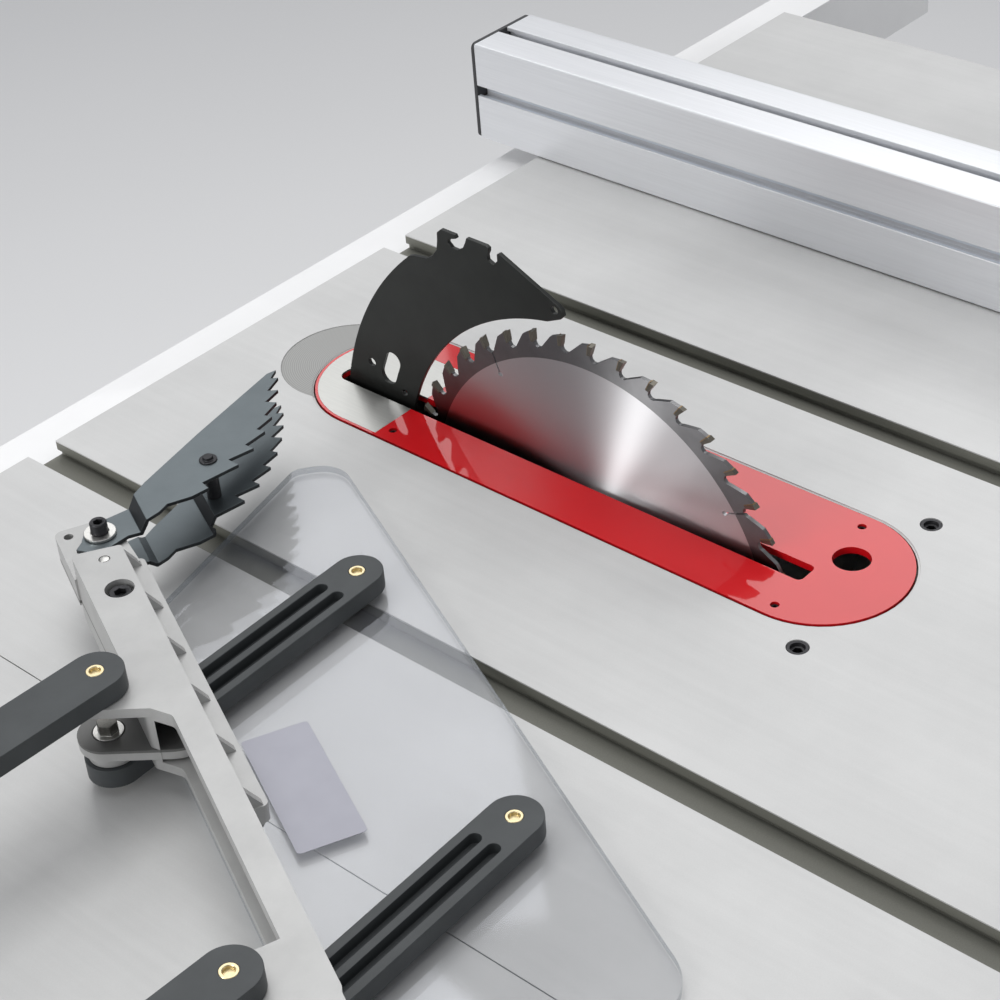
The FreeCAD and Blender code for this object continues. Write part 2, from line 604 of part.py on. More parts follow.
def raise_shaft():
    return fuse([rod("y", RAISE_SHAFT_X, RAISE_SHAFT_Z, -298, -16, SHAFT_R),
                 worm("y", RAISE_SHAFT_X, RAISE_SHAFT_Z, -95, -39),
                 rod("y", RAISE_SHAFT_X, RAISE_SHAFT_Z, -202.6, -195, 13)])


def tilt_shaft():
    return fuse([rod("x", TILT_SHAFT_Y, TILT_SHAFT_Z, -278, 50, SHAFT_R),
                 worm("x", TILT_SHAFT_Y, TILT_SHAFT_Z, -30, 30)])


# ---------------------------------------------------------------- cabinet
DOOR = (-125.0, 175.0, -435.0, -50.0)
DOOR_DEPTH, HINGE_Y = 152.0, 196.0
LATCH = (-141.0, -240.0)
PORT_Z = -770.0


def cabinet():
    shell = box(-CAB_X, CAB_X, CAB_FRONT, CAB_REAR, CAB_BOTTOM, CAB_TOP)
    inner = box(-CAB_X + SHEET, CAB_X - SHEET, CAB_FRONT + SHEET, CAB_REAR - SHEET,
                CAB_BOTTOM - 1, CAB_TOP - SHEET)
    mouth = box(-CAB_X + 18, CAB_X - 18, CAB_FRONT + 18, CAB_REAR - 18, CAB_TOP - 5, CAB_TOP + 1)
    ears = []
    for x in (-64, 38):
        ears.append(box(x, x + 12, CAB_FRONT + 1, -195, -280, -249))
    shape = fuse([shell.cut(inner).cut(mouth)] + ears)
    shaft_r = math.hypot(RAISE_SHAFT_X, RAISE_SHAFT_Z)
    shaft_at = math.degrees(math.atan2(RAISE_SHAFT_Z, RAISE_SHAFT_X))
    y0, y1, z0, z1 = DOOR
    cuts = [sector("y", AXIS, shaft_r - 12, shaft_r + 12, shaft_at - 3, shaft_at + 48,
                   CAB_FRONT - 1, CAB_FRONT + SHEET + 1),
            rod("x", TILT_SHAFT_Y, TILT_SHAFT_Z, -CAB_X - 1, 60, SHAFT_R + RUN),
            box(CAB_X - SHEET - 1, CAB_X + 1, y0 + 5, y1 - 5, z0 + 3, z1 - 2),
            rod("y", 0, PORT_Z, CAB_REAR - SHEET - 1, CAB_REAR + 1, 47)]
    return shape.cut(Part.Compound(cuts))


def plinth():
    outer = box(-CAB_X - 20, CAB_X + 20, CAB_FRONT - 20, CAB_REAR + 20, -890, CAB_BOTTOM)
    inner = box(-CAB_X + 20, CAB_X - 20, CAB_FRONT + 20, CAB_REAR - 20, -891, CAB_BOTTOM + 1)
    kick = box(-120, 120, CAB_FRONT - 21, CAB_REAR + 21, -891, -860)
    return outer.cut(inner).cut(kick)


def levelling_feet():
    feet = []
    for x in (-CAB_X, CAB_X):
        for y in (CAB_FRONT, CAB_REAR):
            feet.append(fuse([rod("z", x, y, -902, -896, 22), rod("z", x, y, -896.5, -890, 8)]))
    return feet


def dust_port():
    flange = box(-62, 62, CAB_REAR, CAB_REAR + 3, PORT_Z - 50, PORT_Z + 62)
    tube = rod("y", 0, PORT_Z, CAB_REAR, CAB_REAR + 52, 50)
    return fuse([flange, tube]).cut(rod("y", 0, PORT_Z, CAB_REAR - 1, CAB_REAR + 60, 47))


def cord_gland():
    x, z = -150, -640
    nut = hexagon("y", x, z, CAB_REAR, CAB_REAR + 8, 26)
    dome = rod("y", x, z, CAB_REAR + 8, CAB_REAR + 20, 11)
    return fuse([nut, dome]).cut(rod("y", x, z, CAB_REAR + 4, CAB_REAR + 30, 4.5))


def motor_door():
    y0, y1, z0, z1 = DOOR
    x0 = CAB_X + 0.6
    flange = box(x0, x0 + 2, y0 - 32, y1 + 14, z0 - 14, z1 + 2)
    hood = box(x0, x0 + DOOR_DEPTH, y0, y1, z0, z1)
    slope = prism("y", [(x0 + 70, z0 - 1), (x0 + DOOR_DEPTH + 1, z0 - 1),
                        (x0 + DOOR_DEPTH + 1, z0 + 110)], y0 - 1, y1 + 1)
    hood = hood.cut(slope)
    hollow = box(x0 - 1, x0 + DOOR_DEPTH - 2, y0 + 2, y1 - 2, z0 + 2, z1 - 2)
    hollow_slope = prism("y", [(x0 + 68, z0 - 1), (x0 + DOOR_DEPTH, z0 - 1),
                               (x0 + DOOR_DEPTH, z0 + 113)], y0 - 1, y1 + 1)
    shape = fuse([flange, hood]).cut(hollow.cut(hollow_slope))
    # Cooling louvres through the hood's outer face.
    slots = [box(x0 + DOOR_DEPTH - 3, x0 + DOOR_DEPTH + 1, y0 + 60, y1 - 60, z, z + 6)
             for z in range(int(z1) - 160, int(z1) - 60, 16)]
    slots.append(rod("x", *LATCH, x0 - 1, x0 + 3, 3 + RUN))
    shape = shape.cut(Part.Compound(slots))
    knuckles = []
    for z in (z0 + 30, z1 - 90):
        leaf = box(x0, x0 + 2, y1 + 12, HINGE_Y - 4, z, z + 50)
        knuckles.append(fuse([leaf, ring("z", x0 + 4.5, HINGE_Y, z, z + 50, 5, 2 + RUN)]))
    return fuse([shape] + knuckles)


def door_hinges():
    _, _, z0, z1 = DOOR
    x0 = CAB_X + 0.6
    hinges = []
    for z in (z0 + 30, z1 - 90):
        pin = rod("z", x0 + 4.5, HINGE_Y, z - 12, z + 62, 2)
        for low in (z - 12.4, z + 50.4):
            pin = fuse([pin, rod("z", x0 + 4.5, HINGE_Y, low, low + 12, 5),
                        box(CAB_X, x0 + 2, HINGE_Y, HINGE_Y + 22, low, low + 12)])
        hinges.append(pin)
    return hinges


def door_latch():
    x0 = CAB_X + 0.6 + 2 + 0.4
    disc = rod("x", *LATCH, x0, x0 + 10, 13)
    stud = rod("x", *LATCH, x0 - 2.4, x0 + 1, 3)
    grip = box(x0 + 6, x0 + 22, LATCH[0] - 3.5, LATCH[0] + 3.5, LATCH[1] - 12, LATCH[1] + 12)
    return fuse([disc, stud, grip])


# ---------------------------------------------------------------- switch
SWITCH = (-510.0, -430.0, -404.0, -352.0, -176.0, -72.0)


def switch_box():
    x0, x1, y0, y1, z0, z1 = SWITCH
    body = rounded("y", [(x0, z0, 6), (x1, z0, 6), (x1, z1, 3), (x0, z1, 3)], y0, y1)
    mid = (x0 + x1) / 2
    hole = rod("y", mid, z1 - 24, y0 - 1, y0 + 14, 11.4)
    ears = [capsule("x", (y0 - 5, z1 - 46), 4, (y0 + 2, z1 - 46), 6, x, x + 4) for x in (x0 + 4, x1 - 8)]
    shape = fuse([body.cut(hole)] + ears)
    return shape.cut(rod("x", y0 - 5, z1 - 46, x0, x1, 2 + RUN))


def start_button():
    x0, x1, y0, _, _, z1 = SWITCH
    mid = (x0 + x1) / 2
    return fuse([rod("y", mid, z1 - 24, y0 - 7, y0 + 8, 11), rod("y", mid, z1 - 24, y0 - 8, y0, 9)])


def stop_paddle():
    x0, x1, y0, _, z0, z1 = SWITCH
    plate = rounded("y", [(x0 + 9, z0 + 2, 10), (x1 - 9, z0 + 2, 10), (x1 - 9, z1 - 42, 2),
                          (x0 + 9, z1 - 42, 2)], y0 - 9.5, y0 - 4)
    pin = rod("x", y0 - 5, z1 - 46, x0 + 4.5, x1 - 4.5, 2)
    return fuse([plate, pin])


# ---------------------------------------------------------------- blade guard
TOP_FACE, UNDER_FACE = 52.0, 16.0
LUG_LOW, LUG_HIGH = (22.5, 28.0), (47.0, 52.0)
LINK_LOW, LINK_HIGH = (5.6, 15.6), (52.4, 62.4)
PANEL_LOW, PANEL_HIGH = (0.4, 4.4), (63.6, 67.6)
TAB = (25.4, 40.6)
PAWL_SHEET = 2.0
# Each pair of (y, height) points is one fold in the underside of a pawl, foot first.
PAWL_LOW = [(51.0, 23.0), (55.0, 20.0), (87.5, 20.0), (91.5, 25.5)]
PAWL_HIGH = [(51.0, 41.0), (55.0, 47.5)]
PAWL_STUD = (-150.5, 95.5)


def guard_arm():
    rear, front = -102.0, 214.0
    core = rounded("z", [(rear, 13, 3), (rear + 3, 37, 2), (front, 37, 6), (front, 24, 4),
                         (32, 24, 6), (20, 14, 4)], UNDER_FACE, TOP_FACE)
    core = core.cut(box(rear + 12, front - 12, 17, 50, UNDER_FACE + 5, TOP_FACE - 7))
    spine = box(rear + 6, front - 6, 30, 36, UNDER_FACE + 2, TOP_FACE - 2)
    flange = rounded("z", [(rear, 34, 0), (rear, 46.6, 3), (90, 46.6, 3), (90, 34, 0)], 30, 39)
    gussets = []
    for i in range(6):
        x = rear + 2 + i * 37
        gussets.append(prism("x", [(36, 38), (45, 38), (36, TOP_FACE - 1)], x, x + 4))
        gussets.append(prism("x", [(36, 31), (45, 31), (36, UNDER_FACE + 1)], x, x + 4))
    tab = rounded("z", [(-140, 12, 4), (-140, 41, 9), (rear + 4, 44, 0), (rear + 4, 12, 0)], *TAB)
    lugs = []
    for x in (0.0, LINK_SPAN):
        for lo, hi in (LUG_LOW, LUG_HIGH):
            lug = capsule("z", (x, 0), 14, (x + 5, 30), 22, lo, hi)
            lugs.append(lug.cut(box(x - 60, x + 60, 36, 90, lo - 1, hi + 1)))
        lugs.append(rod("z", x, 0, UNDER_FACE, LUG_LOW[1], 11))
    shape = fuse([core, spine, flange, tab] + gussets + lugs)
    cuts = [rod("z", *PAWL_BOLT, 0, 70, PAWL_BOLT_R + RUN), rod("z", -133.5, 18, 0, 70, 2.4),
            rod("z", -66, 27.2, TOP_FACE - 6, 70, 7),
            rod("z", *ARM_PIN, TOP_FACE - 3, 70, 2.8)]
    for x in (0.0, LINK_SPAN):
        cuts.append(rod("z", x, 0, 0, 70, 4 + RUN))
        for inner in (LUG_LOW[1], LUG_HIGH[0]):
            cuts.append(rod("z", x, 0, inner - 1.2, inner + 1.2, 7.5))
    return shape.cut(Part.Compound(cuts))


def link_bolts():
    """Shoulder bolts of the four links, each with its head on the guard's inner side."""
    bolts = []
    for x in (0.0, LINK_SPAN):
        for face, way, end in ((LUG_LOW[1], 1, 8.0), (LUG_HIGH[0], -1, 60.0)):
            levels = [end, face - way * 1.2, face + way * 0.4, face + way * 5.6]
            (s0, s1), (w0, w1), (h0, h1) = [sorted(pair) for pair in zip(levels, levels[1:])]
            bolts.append(fuse([hexagon("z", x, 0, h0, h1, 8.5), rod("z", x, 0, w0, w1, 7),
                               rod("z", x, 0, s0, s1, 4)]))
    return bolts


def pawl_bolt():
    x, y = PAWL_BOLT
    return fuse([rod("z", x, y, 17, 46, PAWL_BOLT_R), rod("z", x, y, 43.4, 44.8, 8),
                 rod("z", x, y, 44.8, 50.8, 4.3), rod("z", x, y, 21.2, 22.6, 8),
                 hexagon("z", x, y, 17, 21.2, 8)])


def pawl(folds):
    """Toothed steel plate, pressed with folds across it so that its blade stands off its foot."""
    under = [(0, folds[0][1])] + folds + [(180, folds[-1][1])]
    upper = [(0, folds[0][1] + PAWL_SHEET)]
    for (y0, z0), (y1, z1) in zip(folds[::2], folds[1::2]):
        back = PAWL_SHEET * math.tan(math.atan2(z1 - z0, y1 - y0) / 2)
        upper += [(y0 - back, z0 + PAWL_SHEET), (y1 - back, z1 + PAWL_SHEET)]
    upper.append((180, folds[-1][1] + PAWL_SHEET))
    sheet = prism("x", under + upper[::-1], -240, -100)
    tips = [(-214.1, 152.3), (-206.3, 151.0), (-194.9, 147.2), (-184.1, 142.7),
            (-172.3, 136.3), (-161.2, 128.9), (-149.5, 119.0), (-139.3, 107.9)]
    gullets = [(-207.6, 147.2), (-197.0, 142.0), (-187.4, 137.7), (-175.6, 133.3),
               (-165.1, 125.7), (-154.5, 116.2), (-146.0, 104.6), (-133.1, 87.1)]
    outline = []
    for tip, gullet in zip(tips, gullets):
        outline += [tip, gullet]
    outline += [(-127.2, 88.5), (-124.3, 79.0), (-124.0, 66.5), (-119.6, 61.3), (-116.4, 54.3),
                (-117.0, 44.0), (-112.6, 34.0), (-112.4, 24.0), (-117.8, 18.2), (-122.5, 22.0),
                (-131.5, 26.0), (-135.8, 37.5), (-138.9, 51.4), (-139.8, 53.7), (-147.3, 61.5),
                (-176.2, 97.8), (-212.9, 146.8)]
    plate = prism("z", outline, 10, 60).common(sheet)
    holes = [rod("z", *PAWL_BOLT, 10, 60, PAWL_BOLT_R + RUN), rod("z", *PAWL_STUD, 10, 60, 2.5)]
    return plate.cut(Part.Compound(holes))


def pawl_spacer():
    x, y = PAWL_STUD
    low, high = PAWL_LOW[-1][1], PAWL_HIGH[-1][1]
    return fuse([rod("z", x, y, low - 1.6, 52, 2.5), rod("z", x, y, low - 1.6, low, 3.8),
                 rod("z", x, y, low + PAWL_SHEET, high, 3.6),
                 rod("z", x, y, high + PAWL_SHEET, 50.4, 4.6), rod("z", x, y, 50.4, 52, 2.6)])


def guard_link(x, reach, lo, hi, pocket_up):
    """Moulded link with two long pockets beside a centre rib, open on the inner side."""
    end = (x + reach[0], reach[1])
    body = capsule("z", (x, 0), 13, end, 13, lo, hi)
    ux, uy = reach[0] / LINK_LENGTH, reach[1] / LINK_LENGTH
    cuts = [rod("z", x, 0, lo - 1, hi + 1, 4 + RUN), rod("z", *end, lo - 1, hi + 1, 4 + RUN)]
    z0, z1 = (lo + 4, hi + 1) if pocket_up else (lo - 1, hi - 4)
    for side in (-5.2, 5.2):
        start = (x + ux * 20 - uy * side, uy * 20 + ux * side)
        stop = (x + ux * (LINK_LENGTH - 20) - uy * side, uy * (LINK_LENGTH - 20) + ux * side)
        cuts.append(capsule("z", start, 3.2, stop, 3.2, z0, z1))
    return body.cut(Part.Compound(cuts))


def guard_panel(shift, lo, hi):
    """Clear side shield; shift moves its outline from the lowered to the raised place."""
    corners = [(-87, 26, 14), (-186.5, 147, 10), (-180, 170.8, 18), (238, 170.8, 26),
               (238, 92, 26), (196, 26, 20)]
    plate = rounded("z", [(a + shift[0], b + shift[1], r) for a, b, r in corners], lo, hi)
    cuts = []
    for x in (0.0, LINK_SPAN):
        cuts.append(rod("z", x + LINK_REACH[0] + shift[0], LINK_REACH[1] + shift[1],
                        lo - 1, hi + 1, 4 + RUN))
    return plate.cut(Part.Compound(cuts))


RAISED_REACH = polar((0, 0), LINK_LENGTH, RAISED_ANGLE)
RAISED_SHIFT = (RAISED_REACH[0] - LINK_REACH[0], RAISED_REACH[1] - LINK_REACH[1])


# ---------------------------------------------------------------- write every node
os.makedirs("parts", exist_ok=True)
WORLD_NODES = {
    "table_top": table_top, "stop_screws": stop_screws, "table_bolts": table_bolts,
    "left_wing": lambda: wing(TABLE_LEFT - SEAM - WING_WIDTH, TABLE_LEFT - SEAM),
    "right_wing": lambda: wing(TABLE_RIGHT + SEAM, TABLE_RIGHT + SEAM + WING_WIDTH),
    "front_rail": front_rail, "rear_rail": rear_rail,
    "front_trunnion": lambda: trunnion(-232, -217, -224, -216),
    "rear_trunnion": lambda: trunnion(REAR_PLATE_Y + 16, REAR_PLATE_Y + 31, REAR_PLATE_Y + 15,
                                      REAR_PLATE_Y + 23),
    "cabinet": cabinet, "plinth": plinth, "levelling_feet": levelling_feet,
    "dust_port": dust_port, "cord_gland": cord_gland, "door_hinges": door_hinges,
    "switch_box": switch_box, "start_button": start_button, "stop_paddle": stop_paddle,
    "motor_door": motor_door, "door_latch": door_latch,
    "throat_insert": throat_insert, "wear_plate": wear_plate,
    "fence_beam": fence_beam, "fence_end_caps": fence_end_caps,
    "fence_carriage": fence_carriage, "fence_lever": fence_lever,
    "cradle": cradle, "raise_pin": raise_pin,
    "raise_shaft": raise_shaft, "raise_handwheel": lambda: handwheel(*RAISE_WHEEL),
    "raise_handle": lambda: wheel_handle(*RAISE_WHEEL), "raise_lock": lambda: lock_knob(*RAISE_WHEEL),
    "tilt_shaft": tilt_shaft, "tilt_handwheel": lambda: handwheel(*TILT_WHEEL),
    "tilt_handle": lambda: wheel_handle(*TILT_WHEEL), "tilt_lock": lambda: lock_knob(*TILT_WHEEL),
    "arbor_arm": arbor_arm, "arbor_bearings": arbor_bearings, "motor": motor,
    "drive_belt": drive_belt, "knife_clamp": knife_clamp, "riving_knife": riving_knife,
    "arbor_shaft": arbor_shaft, "blade": blade, "outer_flange": outer_flange,
    "arbor_nut": arbor_nut,
    "arbor_pulley": lambda: pulley(ARBOR_Y, ARBOR_Z, ARBOR_PULLEY_R, 8.5),
    "motor_pulley": motor_pulley,
}
GUARD_NODES = {
    "guard_arm": guard_arm, "link_bolts": link_bolts, "pawl_bolt": pawl_bolt,
    "lower_pawl": lambda: pawl(PAWL_LOW), "upper_pawl": lambda: pawl(PAWL_HIGH),
    "pawl_spacer": pawl_spacer,
    "lower_rear_link": lambda: guard_link(0, LINK_REACH, *LINK_LOW, True),
    "lower_front_link": lambda: guard_link(LINK_SPAN, LINK_REACH, *LINK_LOW, True),
    "lower_panel": lambda: guard_panel((0, 0), *PANEL_LOW),
    "upper_rear_link": lambda: guard_link(0, RAISED_REACH, *LINK_HIGH, False),
    "upper_front_link": lambda: guard_link(LINK_SPAN, RAISED_REACH, *LINK_HIGH, False),
    "upper_panel": lambda: guard_panel(RAISED_SHIFT, *PANEL_HIGH),
}
for node, make in WORLD_NODES.items():
    save(node, make())
for node, make in GUARD_NODES.items():
    save(node, make(), guard=True)
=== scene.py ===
import bpy
import bmesh
import math
from mathutils import Matrix, Vector
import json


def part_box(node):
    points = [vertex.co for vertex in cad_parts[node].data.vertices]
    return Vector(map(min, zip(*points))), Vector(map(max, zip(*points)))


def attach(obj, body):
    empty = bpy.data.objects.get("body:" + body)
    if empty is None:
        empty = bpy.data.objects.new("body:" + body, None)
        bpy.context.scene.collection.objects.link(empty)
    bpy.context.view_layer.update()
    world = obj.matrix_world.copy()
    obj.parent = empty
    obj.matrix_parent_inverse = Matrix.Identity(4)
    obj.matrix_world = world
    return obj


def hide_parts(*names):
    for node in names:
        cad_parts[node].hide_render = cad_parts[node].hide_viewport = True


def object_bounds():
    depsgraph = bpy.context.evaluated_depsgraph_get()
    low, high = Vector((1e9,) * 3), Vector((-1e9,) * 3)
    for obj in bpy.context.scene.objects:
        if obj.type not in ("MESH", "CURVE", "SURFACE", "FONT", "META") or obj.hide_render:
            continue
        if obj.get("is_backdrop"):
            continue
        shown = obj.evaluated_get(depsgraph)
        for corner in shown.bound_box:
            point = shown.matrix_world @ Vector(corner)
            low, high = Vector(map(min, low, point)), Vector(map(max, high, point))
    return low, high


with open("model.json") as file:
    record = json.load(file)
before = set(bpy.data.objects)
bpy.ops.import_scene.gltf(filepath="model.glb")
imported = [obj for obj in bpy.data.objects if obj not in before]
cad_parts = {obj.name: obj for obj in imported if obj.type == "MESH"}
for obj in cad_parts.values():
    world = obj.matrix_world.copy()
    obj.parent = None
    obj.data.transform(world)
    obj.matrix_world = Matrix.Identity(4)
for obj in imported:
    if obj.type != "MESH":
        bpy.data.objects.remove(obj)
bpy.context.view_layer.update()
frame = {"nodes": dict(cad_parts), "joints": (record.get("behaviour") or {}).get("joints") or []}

# ---------------------------------------------------------------- camera, light and floor
# The view looks down over the left front of the table, past the guard to the blade and fence.
# Home is the saw's working point: the blade's plane, the arbor line and the table's face.
flange_low, flange_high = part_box("outer_flange")
ARBOR_BACK, BLADE_HALF = 0.083, 0.0011
table_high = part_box("table_top")[1]
arbor = Vector((flange_low.x - BLADE_HALF, (flange_low.y + flange_high.y) / 2,
                (flange_low.z + flange_high.z) / 2))
home = Vector((arbor.x, arbor.y - ARBOR_BACK, table_high.z))

VIEW_FROM = Vector((-0.7138, -0.5529, 0.6714))
VIEW_LENS, FILM_WIDTH = 80.96, 36.0
yaw, pitch, roll = math.radians(45.38), math.radians(35.43), math.radians(-5.06)
forward = Vector((math.sin(yaw) * math.cos(pitch), math.cos(yaw) * math.cos(pitch),
                  -math.sin(pitch)))
level = forward.cross(Vector((0, 0, 1))).normalized()
rise = level.cross(forward)
right = level * math.cos(roll) + rise * math.sin(roll)
up = rise * math.cos(roll) - level * math.sin(roll)
camera = bpy.data.objects.new("camera", bpy.data.cameras.new("camera"))
bpy.context.scene.collection.objects.link(camera)
turn = Matrix((right, up, -forward)).transposed().to_4x4()
camera.matrix_world = Matrix.Translation(home + VIEW_FROM) @ turn
camera.data.lens = VIEW_LENS
camera.data.sensor_width = FILM_WIDTH
camera.data.clip_end = 100.0
bpy.context.scene.camera = camera
bpy.context.scene.view_settings.view_transform = "Standard"

world = bpy.data.worlds.new("studio")
bpy.context.scene.world = world
world.use_nodes = True
sky = world.node_tree.nodes["Background"]
sky.inputs["Color"].default_value = (0.93, 0.95, 1.0, 1)
sky.inputs["Strength"].default_value = 0.34


def softbox(name, place, aim, wide, tall, power):
    """A studio light of a width and height that faces a point."""
    lamp = bpy.data.lights.new(name, "AREA")
    lamp.shape = "RECTANGLE"
    lamp.size = wide
    lamp.size_y = tall
    lamp.energy = power
    light = bpy.data.objects.new(name, lamp)
    bpy.context.scene.collection.objects.link(light)
    light.location = place
    light.rotation_euler = (Vector(aim) - Vector(place)).to_track_quat("-Z", "Y").to_euler()


softbox("overhead", home + Vector((0.0, 0.6, 3.0)), home, 2.8, 2.6, 54)
softbox("left_strip", home + Vector((-2.76, 0.78, 0.95)), home, 0.5, 1.3, 34)
softbox("left_front", home + Vector((-2.83, -0.37, 0.95)), home, 0.4, 1.2, 11)
softbox("right_window", home + Vector((2.22, 0.94, 1.82)), home, 1.4, 1.3, 14)
softbox("rear_window", home + Vector((1.2, 2.0, 1.89)), home + Vector((-0.3, 0, 0)), 0.9, 1.1, 6)
softbox("front_fill", home + Vector((0.8, -2.6, 0.6)), home - Vector((0, 0, 0.4)), 1.6, 1.6, 10)


class Wire:
    """One socket of a material's nodes. Sums on wires add their Math nodes."""

    def __init__(self, tree, socket=None):
        self.tree = tree
        self.socket = socket

    def node(self, kind, settings=None, sockets=None, out=0):
        """One node of a type: its settings are made first, then its sockets' values or links."""
        made = self.tree.nodes.new("ShaderNode" + kind)
        for name, value in (settings or {}).items():
            setattr(made, name, value)
        for name, value in (sockets or {}).items():
            if isinstance(value, Wire):
                self.tree.links.new(value.socket, made.inputs[name])
            else:
                made.inputs[name].default_value = value
        return Wire(self.tree, made.outputs[out])

    def maths(self, operation, first, second=0.0):
        return self.node("Math", {"operation": operation}, {0: first, 1: second})

    def __add__(self, other):
        return self.maths("ADD", self, other)

    def __radd__(self, other):
        return self.maths("ADD", other, self)

    def __sub__(self, other):
        return self.maths("SUBTRACT", self, other)

    def __rsub__(self, other):
        return self.maths("SUBTRACT", other, self)

    def __mul__(self, other):
        return self.maths("MULTIPLY", self, other)

    def __rmul__(self, other):
        return self.maths("MULTIPLY", other, self)

    def __pow__(self, other):
        return self.maths("POWER", self, other)

    def above(self, edge):
        """A mask: 1 where the value is over the edge, else 0."""
        return self.maths("GREATER_THAN", self, edge)

    def below(self, edge):
        """A mask: 1 where the value is under the edge, else 0."""
        return self.maths("LESS_THAN", self, edge)

    def clamp(self):
        return self.node("Clamp", None, {0: self})

    def tint(self, dark, light):
        """Runs a mask from one colour to another; either may be a wire."""
        ends = {6: dark, 7: light}
        for key, colour in ends.items():
            if not isinstance(colour, Wire):
                ends[key] = (*colour, 1)
        return self.node("Mix", {"data_type": "RGBA"}, {0: self, **ends}, 2)

    def place(self):
        """The place on the piece, in metres along its own axes."""
        return self.node("TexCoord", out=3)

    def part(self, axis):
        """One coordinate of the place in metres: 0 across, 1 to the rear, 2 up."""
        return self.node("SeparateXYZ", None, {0: self.place()}, axis)

    def grain(self, scale, detail=2.0, rough=0.5, stretch=(1, 1, 1)):
        """Noise at so many waves to the metre, longer along an axis with a small stretch."""
        spot = self.place()
        if stretch != (1, 1, 1):
            spot = self.node("Mapping", None, {"Vector": spot, "Scale": stretch})
        return self.node("TexNoise", None, {"Vector": spot, "Scale": scale, "Detail": detail,
                                            "Roughness": rough})

    def upright(self):
        """How squarely the surface faces up or down: 0 on a wall, 1 on a level face."""
        facing = self.node("SeparateXYZ", None, {0: self.node("NewGeometry", out=1)}, 2)
        return self.maths("ABSOLUTE", facing)

    def bump(self, height, strength, depth):
        """A normal from a height between 0 and 1 that stands so many metres."""
        return self.node("Bump", None, {"Height": height, "Strength": strength,
                                        "Distance": depth})


def finish(name, colour, **constants):
    """A new material; constants go on the shader's own sockets. Returns it with a first wire."""
    made = bpy.data.materials.new(name)
    made.use_nodes = True
    shader = made.node_tree.nodes["Principled BSDF"]
    shader.inputs["Base Color"].default_value = (*colour, 1)
    for key, value in constants.items():
        shader.inputs[key.replace("_", " ").title().replace("Ior", "IOR")].default_value = value
    return made, Wire(made.node_tree)


def feed(material, **wires):
    """Joins wires to the shader's sockets."""
    shader = material.node_tree.nodes["Principled BSDF"]
    for key, wire in wires.items():
        material.node_tree.links.new(wire.socket, shader.inputs[key.replace("_", " ").title()])


def dress(material, *pieces):
    """Gives a material to CAD nodes by name, or to new pieces."""
    for piece in pieces:
        shown = frame["nodes"][piece] if isinstance(piece, str) else piece
        shown.data.materials.clear()
        shown.data.materials.append(material)


def ease(width, *nodes):
    """Breaks the sharp edges of CAD nodes, as filing or a casting's draft does."""
    for node in nodes:
        shown = frame["nodes"][node]
        mesh = shown.data
        if "custom_normal" in mesh.attributes:
            mesh.attributes.remove(mesh.attributes["custom_normal"])
        mesh.polygons.foreach_set("use_smooth", [True] * len(mesh.polygons))
        weld = shown.modifiers.new("weld", "WELD")
        weld.merge_threshold = 1e-6
        flat = shown.modifiers.new("flat", "DECIMATE")
        flat.decimate_type = "DISSOLVE"
        flat.angle_limit = math.radians(0.5)
        edge = shown.modifiers.new("edge", "BEVEL")
        edge.width = width
        edge.segments = 2
        edge.limit_method = "ANGLE"
        edge.angle_limit = math.radians(35)
        edge.harden_normals = True


floor_mesh = bpy.data.meshes.new("floor")
floor_mesh.from_pydata([(-9, -9, 0), (9, -9, 0), (9, 9, 0), (-9, 9, 0)], [], [(0, 1, 2, 3)])
floor = bpy.data.objects.new("floor", floor_mesh)
bpy.context.scene.collection.objects.link(floor)
pale, start = finish("pale_floor", (0.82, 0.82, 0.82), roughness=0.8)
feed(pale, base_color=start.grain(0.8).tint((0.79, 0.79, 0.79), (0.86, 0.86, 0.86)))
dress(pale, floor)
floor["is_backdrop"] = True

# ---------------------------------------------------------------- table and wings
# Grey iron castings. Their faces are ground and oiled, the slots are milled, and the ribbed
# undersides are left as cast and painted.
SKIN, SLOT_LIP = 0.0008, 0.0125
DISC_X, DISC_Y, DISC_R = 0.00965, 0.270, 0.0402
ground, start = finish("ground_iron", (0.6, 0.6, 0.6), metallic=0.15)
height = start.part(2) - table_high.z
# Mask of the milled faces below the ground surface; it also carries the slots' painted shade.
milled_and_shaded = height.below(-SKIN)
cloud = start.grain(14, 4, 0.6)
speck = start.grain(1600, 3, 0.7)
streak = start.grain(220, 2, 0.6, (1, 0.03, 1))
spot_x = start.part(0) - (home.x + DISC_X)
spot_y = start.part(1) - (home.y + DISC_Y)
spot_r = (spot_x * spot_x + spot_y * spot_y) ** 0.5
spot = spot_r.below(DISC_R) * height.above(-0.001) * height.below(-0.0003)
rings = start.maths("SINE", spot_r * 5200) * 0.5 + 0.5
tone = (cloud * 0.5 + speck * 0.3 + streak * 0.2).clamp()
face = tone.tint((0.44, 0.44, 0.435), (0.70, 0.70, 0.69))
# The milled slots are painted far darker than the face: partly the milled finish, partly painted
# shade in the recess.
slot_tone_and_shade = speck.tint((0.14, 0.14, 0.118), (0.23, 0.23, 0.20))
deep = height.below(-SLOT_LIP)
slot_tone_and_shade = deep.tint(slot_tone_and_shade, (0.10, 0.11, 0.12))
disc_colour = rings.tint((0.27, 0.27, 0.26), (0.37, 0.37, 0.36))
feed(ground, base_color=spot.tint(milled_and_shaded.tint(face, slot_tone_and_shade), disc_colour),
     roughness=(0.36 + speck * 0.16 + milled_and_shaded * 0.12).clamp(),
     normal=start.bump(speck * 0.6 + streak * 0.4 + rings * spot, 0.25, 0.00005))
dress(ground, "table_top", "left_wing", "right_wing")
ease(0.0005, "table_top", "left_wing", "right_wing")

